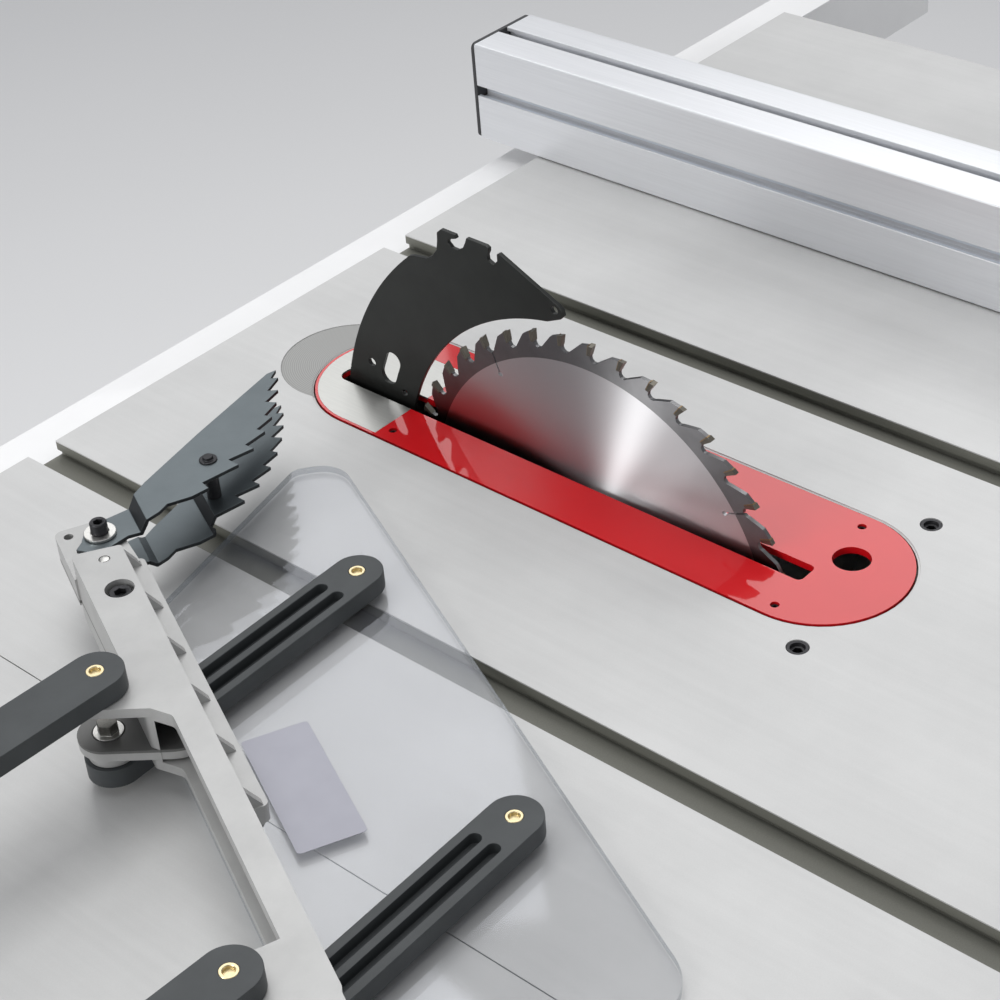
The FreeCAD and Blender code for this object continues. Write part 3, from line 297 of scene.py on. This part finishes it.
# ---------------------------------------------------------------- throat insert
# A 4 mm steel plate in glossy red enamel that drops into the table on four levelling screws.
# Behind the blade a bright stainless wear plate is let into it.
enamel, start = finish("red_enamel", (0.66, 0.012, 0.018), coat_weight=0.9, coat_roughness=0.05,
                       specular_ior_level=0.1)
peel = start.grain(420, 2, 0.5)
feed(enamel, base_color=start.grain(30, 3).tint((0.54, 0.004, 0.008), (0.63, 0.008, 0.012)),
     roughness=0.28 + peel * 0.08, normal=start.bump(peel, 0.12, 0.00006))
dress(enamel, "throat_insert")
ease(0.0005, "throat_insert")

stainless, start = finish("stainless_sheet", (0.8, 0.8, 0.77), metallic=1.0)
brush = start.grain(900, 3, 0.6, (1, 0.04, 1))
feed(stainless, base_color=brush.tint((0.52, 0.52, 0.50), (0.66, 0.66, 0.63)),
     roughness=0.34 + brush * 0.1, normal=start.bump(brush, 0.08, 0.00002))
dress(stainless, "wear_plate")


def loft(name, loops, place, way=(0, 0, 1), points=48):
    """A turned or pressed piece: rings (corners, radius, height) joined in order and capped.

    A ring with no corners is round; otherwise it is a polygon of that many corners."""
    mesh = bmesh.new()
    swing = Vector((0, 0, 1)).rotation_difference(Vector(way)).to_matrix()
    made = []
    for corners, radius, rise_by in loops:
        ring = []
        for i in range(points):
            angle = 2 * math.pi * i / points
            reach = radius
            if corners:
                part = 2 * math.pi / corners
                off = (angle % part) - part / 2
                reach = radius * math.cos(part / 2) / math.cos(off)
            spot_at = Vector((reach * math.cos(angle), reach * math.sin(angle), rise_by))
            ring.append(mesh.verts.new(Vector(place) + swing @ spot_at))
        made.append(ring)
    for a, b in zip(made, made[1:]):
        for i in range(points):
            j = (i + 1) % points
            mesh.faces.new((a[i], a[j], b[j], b[i]))
    mesh.faces.new(made[0][::-1])
    mesh.faces.new(made[-1])
    bmesh.ops.recalc_face_normals(mesh, faces=mesh.faces)
    data = bpy.data.meshes.new(name)
    mesh.to_mesh(data)
    mesh.free()
    data.polygons.foreach_set("use_smooth", [True] * len(data.polygons))
    data.set_sharp_from_angle(angle=math.radians(35))
    piece = bpy.data.objects.new(name, data)
    bpy.context.scene.collection.objects.link(piece)
    return piece


black_oxide, start = finish("black_oxide", (0.03, 0.03, 0.033), metallic=0.7)
oily = start.grain(700, 3, 0.6)
feed(black_oxide, base_color=oily.tint((0.018, 0.018, 0.02), (0.06, 0.06, 0.064)),
     roughness=0.34 + oily * 0.2, normal=start.bump(oily, 0.2, 0.00004))
LEVEL_SCREWS = ((0.0473, -0.0519), (-0.0287, -0.0539), (-0.0278, 0.2005), (0.0472, 0.2005))
for i, (x, y) in enumerate(LEVEL_SCREWS):
    screw = loft(f"level_screw_{i}", [(0, 0.0021, -0.0040), (0, 0.0021, -0.0016),
                                      (0, 0.0019, -0.0013), (6, 0.0013, -0.0013),
                                      (6, 0.0012, -0.0030)], home + Vector((x, y, 0)))
    dress(black_oxide, screw)
    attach(screw, "throat_insert")

# ---------------------------------------------------------------- stop screws in the table
# Two black socket screws under the face set where the blade's tilt stops. Each sits in a
# threaded collar just below the ground surface.
STOP_SCREWS = ((0.0688, -0.0783), (-0.0481, -0.0811))
for i, (x, y) in enumerate(STOP_SCREWS):
    stop = loft(f"stop_screw_{i}", [(0, 0.0055, -0.0118), (0, 0.0055, -0.0007),
                                    (0, 0.0052, -0.0004), (0, 0.0038, -0.0004),
                                    (0, 0.0034, -0.0022), (6, 0.0026, -0.0024),
                                    (6, 0.0025, -0.0075)], home + Vector((x, y, 0)))
    dress(black_oxide, stop)
    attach(stop, "stand")
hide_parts("stop_screws")

# ---------------------------------------------------------------- blade
# A 254 mm plate saw: polished steel with circular grinding marks, a dark rim where the teeth
# are ground, and forty carbide tips brazed on with a brown line of solder.
TEETH, TIP_ANGLE, TIP_R = 40, 29.8, 0.127
PLATE_HALF, KERF_HALF, ARBOR_HOLE, GROUND_R = 0.0011, 0.0016, 0.00795, 0.1112
pitch_angle = 360 / TEETH


def on_blade(radius, degrees, side):
    """A point in the blade's own frame, whose Z is the arbor and X the saw's rear."""
    angle = math.radians(degrees)
    return Vector((radius * math.cos(angle), radius * math.sin(angle), side))


blade_turn = Matrix(((0, 0, 1), (1, 0, 0), (0, 1, 0))).to_4x4()
blade_place = Matrix.Translation(arbor) @ blade_turn


def blade_piece(name, mesh):
    """Makes an object of a mesh drawn in the blade's frame, and rides it on the arbor."""
    bmesh.ops.recalc_face_normals(mesh, faces=mesh.faces)
    data = bpy.data.meshes.new(name)
    mesh.to_mesh(data)
    mesh.free()
    piece = bpy.data.objects.new(name, data)
    bpy.context.scene.collection.objects.link(piece)
    piece.matrix_world = blade_place
    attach(piece, "arbor")
    return piece


def rim_outline():
    """One tooth and gullet after another; every tenth gullet runs into an expansion slot."""
    outline = []
    for i in range(TEETH):
        tip = TIP_ANGLE + i * pitch_angle
        outline += [(0.1259, tip - 0.35), (0.1195, tip - 0.95), (0.1180, tip - 0.75)]
        if i % 10 == 3:
            mouth, foot = on_blade(0.1169, tip + 0.35, 0), on_blade(0.1048, tip - 1.1, 0)
            along = (mouth - foot).normalized()
            side = Vector((-along.y, along.x, 0))
            rim = [mouth - side * 0.00045]
            for k in range(9):
                swing = math.radians(-20 - k * 40)
                rim.append(foot + (along * math.cos(swing) + side * math.sin(swing)) * 0.0015)
            rim.append(mouth + side * 0.00045)
            outline += [(p.length, math.degrees(math.atan2(p.y, p.x))) for p in rim]
        else:
            outline += [(0.1170, tip - 0.2), (0.1169, tip + 0.6)]
        outline += [(0.1174, tip + 1.1), (0.1186, tip + 1.7), (0.1246, tip + 5.0),
                    (0.1253, tip + 6.2), (0.1263, tip + 8.0)]
    return outline


outline = rim_outline()
plate = bmesh.new()
rows = []
for side in (-PLATE_HALF, PLATE_HALF):
    rim = [plate.verts.new(on_blade(r, a, side)) for r, a in outline]
    hole = [plate.verts.new(on_blade(ARBOR_HOLE, 360 * i / 48, side)) for i in range(48)]
    edges = [plate.edges.new((ring[i], ring[(i + 1) % len(ring)]))
             for ring in (rim, hole) for i in range(len(ring))]
    bmesh.ops.triangle_fill(plate, edges=edges, use_beauty=True, use_dissolve=False)
    rows.append((rim, hole))
for low_ring, high_ring in zip(*rows):
    for i in range(len(low_ring)):
        j = (i + 1) % len(low_ring)
        plate.faces.new((low_ring[i], low_ring[j], high_ring[j], high_ring[i]))
blade = blade_piece("blade_plate", plate)
polished, start = finish("polished_plate", (0.62, 0.62, 0.63), metallic=1.0, anisotropic=0.97,
                         anisotropic_rotation=0.25)
around = start.node("VectorMath", {"operation": "LENGTH"}, {0: start.node(
    "Mapping", None, {"Vector": start.place(), "Scale": (1, 1, 0)})}, 1)
rim_mask = around.above(GROUND_R)
lines = start.node("TexNoise", {"noise_dimensions": "1D"}, {"W": around * 1900, "Detail": 3.0})
soft = start.grain(90, 3, 0.6)
feed(polished,
     base_color=rim_mask.tint(lines.tint((0.46, 0.46, 0.47), (0.70, 0.70, 0.71)),
                              soft.tint((0.20, 0.20, 0.205), (0.29, 0.29, 0.295))),
     roughness=0.40 + lines * 0.10 + rim_mask * 0.1,
     normal=start.bump(lines, 0.15, 0.00003))
dress(polished, blade)
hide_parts("blade")

tips, braze = bmesh.new(), bmesh.new()


def wedge(mesh, corners, half, lean):
    """A small block over the blade's edge; lean bevels its top to one side."""
    low = [mesh.verts.new(on_blade(r - (lean if r > 0.126 else 0), a, -half))
           for r, a in corners]
    high = [mesh.verts.new(on_blade(r, a, half)) for r, a in corners]
    mesh.faces.new(low[::-1])
    mesh.faces.new(high)
    for i in range(len(corners)):
        j = (i + 1) % len(corners)
        mesh.faces.new((low[i], low[j], high[j], high[i]))


for i in range(TEETH):
    tip = TIP_ANGLE + i * pitch_angle
    half = KERF_HALF if i % 2 else -KERF_HALF
    wedge(tips, [(TIP_R, tip), (0.1206, tip - 0.85), (0.1204, tip - 1.65), (0.1266, tip - 1.3)],
          half, 0.0006)
    wedge(braze, [(0.1265, tip - 1.25), (0.1203, tip - 1.6), (0.1201, tip - 1.9),
                  (0.1262, tip - 1.55)], PLATE_HALF + 0.0001, 0)
tip_piece = blade_piece("carbide_tips", tips)
braze_piece = blade_piece("braze", braze)
carbide, start = finish("carbide", (0.23, 0.22, 0.21), metallic=0.8)
honed = start.grain(1800, 2)
feed(carbide, base_color=honed.tint((0.09, 0.085, 0.07), (0.19, 0.175, 0.145)),
     roughness=0.25 + honed * 0.2)
solder, start = finish("solder", (0.4, 0.27, 0.13), metallic=0.9)
feed(solder, base_color=start.grain(1500, 2).tint((0.20, 0.14, 0.07), (0.38, 0.27, 0.15)),
     roughness=0.3 + start.grain(900) * 0.25)
dress(carbide, tip_piece)
dress(solder, braze_piece)

# ---------------------------------------------------------------- riving knife
# A curved steel plate a little thinner than the kerf, blackened all over. Its hooks take the
# guard's arm and its two small holes are for the guard's pin.
blackened, start = finish("blackened_plate", (0.02, 0.02, 0.02), metallic=0.35)
scuff = start.grain(60, 4, 0.65)
fine = start.grain(1400, 2)
feed(blackened, base_color=scuff.tint((0.008, 0.009, 0.008), (0.024, 0.026, 0.024)),
     roughness=0.30 + fine * 0.10 + scuff * 0.08, normal=start.bump(fine, 0.12, 0.00004))
dress(blackened, "riving_knife", "knife_clamp")
ease(0.0003, "riving_knife")

# ---------------------------------------------------------------- rip fence and rails
# The fence is a clear-anodised extrusion with a bolt groove in each face, clamped to a steel
# tube in front of the table; a white-coated angle carries the table's rear edge.
GROOVE_LOW, GROOVE_HIGH, GROOVE_IN = 0.0305, 0.0375, 0.0278
anodised, start = finish("anodised", (0.6, 0.61, 0.64), metallic=0.55)
die_line = start.grain(700, 3, 0.6, (1, 0.02, 1))
fence_low, fence_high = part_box("fence_beam")
lift = start.part(2) - fence_low.z
# Painted light: the bolt groove is painted paler and bluer than the face, to offset the shade in
# it.
lit_groove = lift.above(GROOVE_LOW) * lift.below(GROOVE_HIGH)
inset = start.maths("ABSOLUTE", start.part(0) - (fence_low.x + fence_high.x) / 2)
lit_groove = lit_groove * inset.below(GROOVE_IN)
feed(anodised, base_color=lit_groove.tint(die_line.tint((0.68, 0.69, 0.71), (0.80, 0.81, 0.83)),
                                      (0.84, 0.88, 0.94)),
     roughness=0.34 + die_line * 0.12, normal=start.bump(die_line, 0.15, 0.00003))
dress(anodised, "fence_beam")
ease(0.0006, "fence_beam")

white_coat, start = finish("white_coat", (0.86, 0.86, 0.86), coat_weight=0.3)
orange_peel = start.grain(500, 2)
feed(white_coat, base_color=start.grain(20, 3).tint((0.80, 0.80, 0.80), (0.90, 0.90, 0.90)),
     roughness=0.32 + orange_peel * 0.12, normal=start.bump(orange_peel, 0.15, 0.00006))
dress(white_coat, "front_rail", "rear_rail")
ease(0.0006, "front_rail", "rear_rail")

dark_coat, start = finish("dark_coat", (0.06, 0.065, 0.07))
hammer = start.grain(380, 3, 0.55)
feed(dark_coat, base_color=hammer.tint((0.045, 0.05, 0.055), (0.085, 0.09, 0.098)),
     roughness=0.38 + hammer * 0.14, normal=start.bump(hammer, 0.25, 0.00008))
dress(dark_coat, "fence_carriage", "plinth", "motor")
ease(0.0008, "fence_carriage", "plinth")
ease(0.0005, "motor")

# ---------------------------------------------------------------- guard arm
# A zinc die casting, shot-blasted and left bare, with ribs along its lower side and two pairs
# of machined lugs for the links. The lugs' inner faces are painted darker as painted shade.
FLOOR_LOW, FLOOR_HIGH = 0.0266, 0.0282
casting, start = finish("die_casting", (0.56, 0.56, 0.57), metallic=0.6)
blast = start.grain(1300, 3, 0.65)
flow = start.grain(45, 4, 0.6)
rise_at = start.part(2) - table_high.z
# Painted shade: a band at the height of the lugs' floors is painted dark.
lug_floor_shade = rise_at.above(FLOOR_LOW) * rise_at.below(FLOOR_HIGH)
feed(casting, base_color=lug_floor_shade.tint(flow.tint((0.42, 0.42, 0.415), (0.55, 0.55, 0.54)),
                                        (0.17, 0.17, 0.165)),
     roughness=0.40 + blast * 0.2, normal=start.bump(blast * 0.7 + flow * 0.3, 0.3, 0.00008))
dress(casting, "guard_arm")
ease(0.0007, "guard_arm")

# ---------------------------------------------------------------- guard links
# Glass-filled nylon in dark slate, moulded flat outside and with two pockets inside, so that
# each link is stiff. Brass inserts take the screws at both ends.
slate, start = finish("slate_nylon", (0.05, 0.055, 0.06))
texture = start.grain(1500, 3, 0.6)
sheen = start.grain(35, 3, 0.6)
feed(slate, base_color=sheen.tint((0.030, 0.034, 0.036), (0.065, 0.072, 0.075)),
     roughness=0.44 + texture * 0.16, normal=start.bump(texture, 0.3, 0.00006))
links = {"lower_rear_link": -1, "lower_front_link": -1, "upper_rear_link": 1,
         "upper_front_link": 1}
dress(slate, *links)
ease(0.0008, *links)

brass, start = finish("brass", (0.78, 0.55, 0.22), metallic=1.0)
dull = start.grain(900, 3)
feed(brass, base_color=dull.tint((0.66, 0.54, 0.32), (0.88, 0.77, 0.50)),
     roughness=0.24 + dull * 0.2)
joint_at = {joint["name"]: joint for joint in frame["joints"]}
span = Vector(joint_at["lower_front_link_turn"]["pos_m"]) - \
    Vector(joint_at["lower_rear_link_turn"]["pos_m"])
span.z = 0
brass_points = []
for side in ("lower", "upper"):
    near = Vector(joint_at[f"{side}_rear_link_turn"]["pos_m"])
    far = Vector(joint_at[f"{side}_panel_turn"]["pos_m"])
    for place, shift in (("rear", Vector()), ("front", span)):
        node = f"{side}_{place}_link"
        low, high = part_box(node)
        for end, spot_at in (("pivot", near), ("panel", far)):
            at = Vector((spot_at.x, spot_at.y, 0)) + shift
            for level_at, way in ((high.z, 1), (low.z, -1)):
                if end == "pivot" and way == (1 if side == "lower" else -1):
                    continue        # the lug's shoulder bolt comes in from this side
                brass_points.append((f"insert_{node}_{end}_{'top' if way > 0 else 'under'}",
                                     Vector((at.x, at.y, level_at)), way, node))
for name, at, way, node in brass_points:
    insert = loft(name, [(0, 0.0040, -0.0021), (0, 0.0040, -0.0001), (0, 0.0038, 0.0001),
                         (0, 0.0028, 0.0001), (0, 0.0025, -0.0002), (0, 0.0023, -0.0016)],
                  at, (0, 0, way))
    dress(brass, insert)
    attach(insert, node)

# ---------------------------------------------------------------- clear side panels
# Polycarbonate sheets, moulded with polished edges. Each hangs by two holes from a pair of
# links, so that it stays level as it is raised.
clear, start = finish("clear_panel", (0.72, 0.75, 0.82), metallic=0.6, ior=1.58)
# Painted shade: the panels' edges are painted darker and more opaque than their faces, standing
# in for the dark lines the edges show.
panel_edge_shade = start.upright().below(0.75)
haze = start.grain(7, 3, 0.6)
feed(clear, base_color=panel_edge_shade.tint((0.56, 0.58, 0.63), (0.42, 0.46, 0.50)),
     roughness=0.03 + haze * 0.04,
     alpha=(0.10 + panel_edge_shade * 0.5 + haze * 0.05).clamp())
dress(clear, "lower_panel", "upper_panel")
ease(0.0008, "lower_panel", "upper_panel")

# ---------------------------------------------------------------- label on the lower panel
# A blank vinyl film, printed matt grey, stuck on the lower panel's upper face between its two
# links.
vinyl, start = finish("label_vinyl", (0.46, 0.46, 0.52))
print_grain = start.grain(1500, 2)
feed(vinyl, base_color=start.grain(60, 3).tint((0.42, 0.42, 0.48), (0.50, 0.50, 0.56)),
     roughness=0.5 + print_grain * 0.1)
along = span.normalized()
across = Vector((-along.y, along.x, 0))
pivot = Vector(joint_at["lower_rear_link_turn"]["pos_m"])
panel_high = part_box("lower_panel")[1]


def on_guard(x, y, level_at):
    """A point of the lying guard: metres forward along it, down to the work, and its height."""
    at = pivot + along * x + across * y
    return Vector((at.x, at.y, level_at))


LABEL_REAR, LABEL_FRONT, LABEL_HIGH, LABEL_LOW, LABEL_R = 0.010, 0.086, 0.057, 0.085, 0.002
LABEL_SINK, LABEL_STAND = 0.00015, 0.00012
CORNER_POINTS = 5
label_corners = ((LABEL_FRONT, LABEL_LOW), (LABEL_REAR, LABEL_LOW), (LABEL_REAR, LABEL_HIGH),
                 (LABEL_FRONT, LABEL_HIGH))
film = bmesh.new()
label_rings = []
for level_at in (panel_high.z - LABEL_SINK, panel_high.z + LABEL_STAND):
    ring = []
    for quarter, (x, y) in enumerate(label_corners):
        for k in range(CORNER_POINTS):
            swing = math.radians(90 * (quarter + k / (CORNER_POINTS - 1)))
            ring.append(film.verts.new(on_guard(x + LABEL_R * math.cos(swing),
                                                y + LABEL_R * math.sin(swing), level_at)))
    label_rings.append(ring)
film.faces.new(label_rings[0][::-1])
film.faces.new(label_rings[1])
for i in range(len(ring)):
    j = (i + 1) % len(ring)
    film.faces.new((label_rings[0][i], label_rings[0][j], label_rings[1][j], label_rings[1][i]))
bmesh.ops.recalc_face_normals(film, faces=film.faces)
film_mesh = bpy.data.meshes.new("panel_label")
film.to_mesh(film_mesh)
film.free()
label = bpy.data.objects.new("panel_label", film_mesh)
bpy.context.scene.collection.objects.link(label)
dress(vinyl, label)
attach(label, "lower_panel")

# ---------------------------------------------------------------- screw and pin in the arm
# A black socket screw is sunk in a counterbore near the arm's rear, and a bright zinc-plated
# pin is pressed in beside it. Both are turned steel.
zinc, start = finish("zinc_plate", (0.62, 0.62, 0.6), metallic=1.0)
plating = start.grain(1100, 3)
feed(zinc, base_color=plating.tint((0.50, 0.50, 0.48), (0.74, 0.73, 0.70)),
     roughness=0.22 + plating * 0.2)
SCREW_AT, PIN_AT = (-0.066, 0.0272), (-0.0916, 0.0268)
arm_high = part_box("guard_arm")[1]
arm_screw = loft("arm_screw", [(0, 0.0055, -0.0059), (0, 0.0055, -0.0024), (0, 0.0050, -0.0019),
                               (0, 0.0033, -0.0019), (6, 0.0031, -0.0022), (6, 0.0030, -0.0050)],
                 on_guard(*SCREW_AT, arm_high.z))
arm_pin = loft("arm_pin", [(0, 0.0026, -0.0029), (0, 0.0026, -0.0004), (0, 0.0022, 0.0),
                           (0, 0.0010, 0.0002)], on_guard(*PIN_AT, arm_high.z))
dress(black_oxide, arm_screw)
dress(zinc, arm_pin)
for piece in (arm_screw, arm_pin):
    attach(piece, "guard")

# ---------------------------------------------------------------- pawls
# Two toothed steel plates on one bolt, held apart by a sleeve. They are blued, with sheared
# edges that are painted far darker as painted shade, and their teeth point back so that a board
# can't be thrown. The links' shoulder bolts, seen beside them, have dark hexagon heads on plated
# washers.
blued, start = finish("blued_steel", (0.1, 0.12, 0.14), metallic=0.75)
heat = start.grain(50, 4, 0.6)
mill = start.grain(1300, 2)
pressed = heat.tint((0.115, 0.135, 0.145), (0.165, 0.19, 0.20))
# Painted shade: the pawls' walls are painted near black, their level faces keep the blued
# colour.
pawl_edge_shade = mill.tint((0.02, 0.022, 0.024), (0.05, 0.055, 0.058))
feed(blued, base_color=start.upright().above(0.6).tint(pawl_edge_shade, pressed),
     roughness=0.34 + mill * 0.14, normal=start.bump(mill, 0.15, 0.00004))
dress(blued, "lower_pawl", "upper_pawl")
ease(0.0003, "lower_pawl", "upper_pawl")
dress(black_oxide, "pawl_spacer", "arbor_nut", "table_bolts")
ease(0.0004, "pawl_spacer", "arbor_nut", "table_bolts")

HEAD_HEIGHT = 0.0060
bolt_low, bolt_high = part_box("pawl_bolt")
bolt_at = Vector(((bolt_low.x + bolt_high.x) / 2, (bolt_low.y + bolt_high.y) / 2, 0))
head_top = bolt_high.z
cap_screw = loft("pawl_cap_screw", [(0, 0.0024, -0.0338), (0, 0.0024, -0.0061),
                                    (0, 0.0043, -0.0060), (0, 0.0043, -0.0006),
                                    (0, 0.0038, 0.0), (0, 0.0029, 0.0), (6, 0.0025, -0.0003),
                                    (6, 0.0024, -0.0030)], bolt_at + Vector((0, 0, head_top)))
washer = loft("pawl_washer", [(0, 0.0079, -0.0014), (0, 0.0080, -0.0003), (0, 0.0077, 0.0),
                              (0, 0.0047, 0.0), (0, 0.0045, -0.0003), (0, 0.0044, -0.0013)],
              bolt_at + Vector((0, 0, head_top - HEAD_HEIGHT)))
under_nut = loft("pawl_nut", [(6, 0.0045, 0.0001), (6, 0.0046, 0.0036), (0, 0.0042, 0.0041),
                              (0, 0.0080, 0.0043), (0, 0.0080, 0.0055), (0, 0.0026, 0.0056)],
                 bolt_at + Vector((0, 0, bolt_low.z)))
dress(black_oxide, cap_screw)
dress(zinc, washer, under_nut)
for piece in (cap_screw, washer, under_nut):
    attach(piece, "guard")
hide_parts("pawl_bolt")
bolt_steel, start = finish("bolt_steel", (0.3, 0.3, 0.29), metallic=1.0)
scale_mark = start.grain(1000, 3)
HEADS_LOW, HEADS_HIGH = 0.0286, 0.0464
standing = start.part(2) - table_high.z
heads = standing.above(HEADS_LOW) * standing.below(HEADS_HIGH)
plated = scale_mark.tint((0.50, 0.50, 0.48), (0.74, 0.73, 0.70))
feed(bolt_steel, base_color=heads.tint(plated, scale_mark.tint((0.12, 0.12, 0.11),
                                                               (0.30, 0.29, 0.27))),
     roughness=0.26 + scale_mark * 0.2)
dress(bolt_steel, "link_bolts")
ease(0.0004, "link_bolts")

# ---------------------------------------------------------------- cabinet and door
# Folded sheet steel, powder-coated pale grey with a fine texture. The motor door on the right
# hangs on two lift-off hinges and is held by a quarter-turn latch.
powder, start = finish("powder_coat", (0.72, 0.73, 0.72))
pebble = start.grain(620, 3, 0.6)
drift = start.grain(3, 3)
feed(powder, base_color=drift.tint((0.66, 0.67, 0.66), (0.76, 0.77, 0.76)),
     roughness=0.42 + pebble * 0.16, normal=start.bump(pebble, 0.3, 0.0001))
dress(powder, "cabinet", "motor_door")
ease(0.0012, "cabinet")
ease(0.0008, "motor_door")

# ---------------------------------------------------------------- plastic fittings
# Black nylon mouldings make the feet, dust outlet, gland, switch box, handles and knobs. The
# stop paddle and the fence lever are glossy red, and the start button is green.
moulded, start = finish("black_moulding", (0.03, 0.03, 0.032))
spark = start.grain(1100, 3, 0.6)
feed(moulded, base_color=start.grain(30, 3).tint((0.022, 0.022, 0.024), (0.045, 0.045, 0.048)),
     roughness=0.46 + spark * 0.16, normal=start.bump(spark, 0.3, 0.00006))
dress(moulded, "levelling_feet", "dust_port", "cord_gland", "switch_box", "raise_handle",
      "tilt_handle", "raise_lock", "tilt_lock", "fence_end_caps", "door_latch")
ease(0.0008, "levelling_feet", "dust_port", "cord_gland", "switch_box", "raise_lock",
     "tilt_lock", "fence_end_caps", "door_latch")
ease(0.0004, "raise_handle", "tilt_handle")

red_plastic, start = finish("red_plastic", (0.6, 0.02, 0.02), coat_weight=0.4)
gloss = start.grain(300, 2)
feed(red_plastic, base_color=gloss.tint((0.55, 0.016, 0.016), (0.66, 0.024, 0.022)),
     roughness=0.25 + gloss * 0.1)
dress(red_plastic, "stop_paddle", "fence_lever")
ease(0.0006, "stop_paddle", "fence_lever")
green_plastic, start = finish("green_plastic", (0.03, 0.4, 0.1), coat_weight=0.4)
gloss = start.grain(300, 2)
feed(green_plastic, base_color=gloss.tint((0.025, 0.34, 0.09), (0.04, 0.44, 0.12)),
     roughness=0.25 + gloss * 0.1)
dress(green_plastic, "start_button")
ease(0.0006, "start_button")

# ---------------------------------------------------------------- drive, shafts and handwheels
# The trunnions, cradle and arbor arm are iron castings in dark grey primer; the shafts,
# flanges and wheels are turned steel, and the belt is ribbed rubber.
primer, start = finish("cast_primer", (0.25, 0.26, 0.27), metallic=0.1)
sand = start.grain(420, 4, 0.65)
feed(primer, base_color=start.grain(18, 4).tint((0.19, 0.20, 0.21), (0.30, 0.31, 0.32)),
     roughness=0.55 + sand * 0.2, normal=start.bump(sand, 0.5, 0.0003))
dress(primer, "front_trunnion", "rear_trunnion", "cradle", "arbor_arm")
ease(0.001, "front_trunnion", "rear_trunnion", "arbor_arm")
ease(0.0006, "cradle")
turned, start = finish("turned_steel", (0.62, 0.62, 0.63), metallic=1.0)
tool = start.grain(800, 3, 0.6)
feed(turned, base_color=tool.tint((0.52, 0.52, 0.53), (0.72, 0.72, 0.73)),
     roughness=0.2 + tool * 0.16, normal=start.bump(tool, 0.15, 0.00004))
dress(turned, "raise_pin", "arbor_bearings", "arbor_shaft", "outer_flange", "raise_shaft",
      "tilt_shaft", "raise_handwheel", "tilt_handwheel", "arbor_pulley", "motor_pulley",
      "door_hinges")
ease(0.0006, "raise_pin", "arbor_bearings", "arbor_shaft", "outer_flange", "raise_shaft",
     "tilt_shaft", "raise_handwheel", "tilt_handwheel", "door_hinges")
ease(0.0003, "arbor_pulley", "motor_pulley")
rubber, start = finish("belt_rubber", (0.02, 0.02, 0.02))
dusty = start.grain(500, 3)
feed(rubber, base_color=dusty.tint((0.014, 0.014, 0.014), (0.05, 0.048, 0.045)),
     roughness=0.6 + dusty * 0.2)
dress(rubber, "drive_belt")
ease(0.0006, "drive_belt")

# ---------------------------------------------------------------- sizes
low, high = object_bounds()
import json
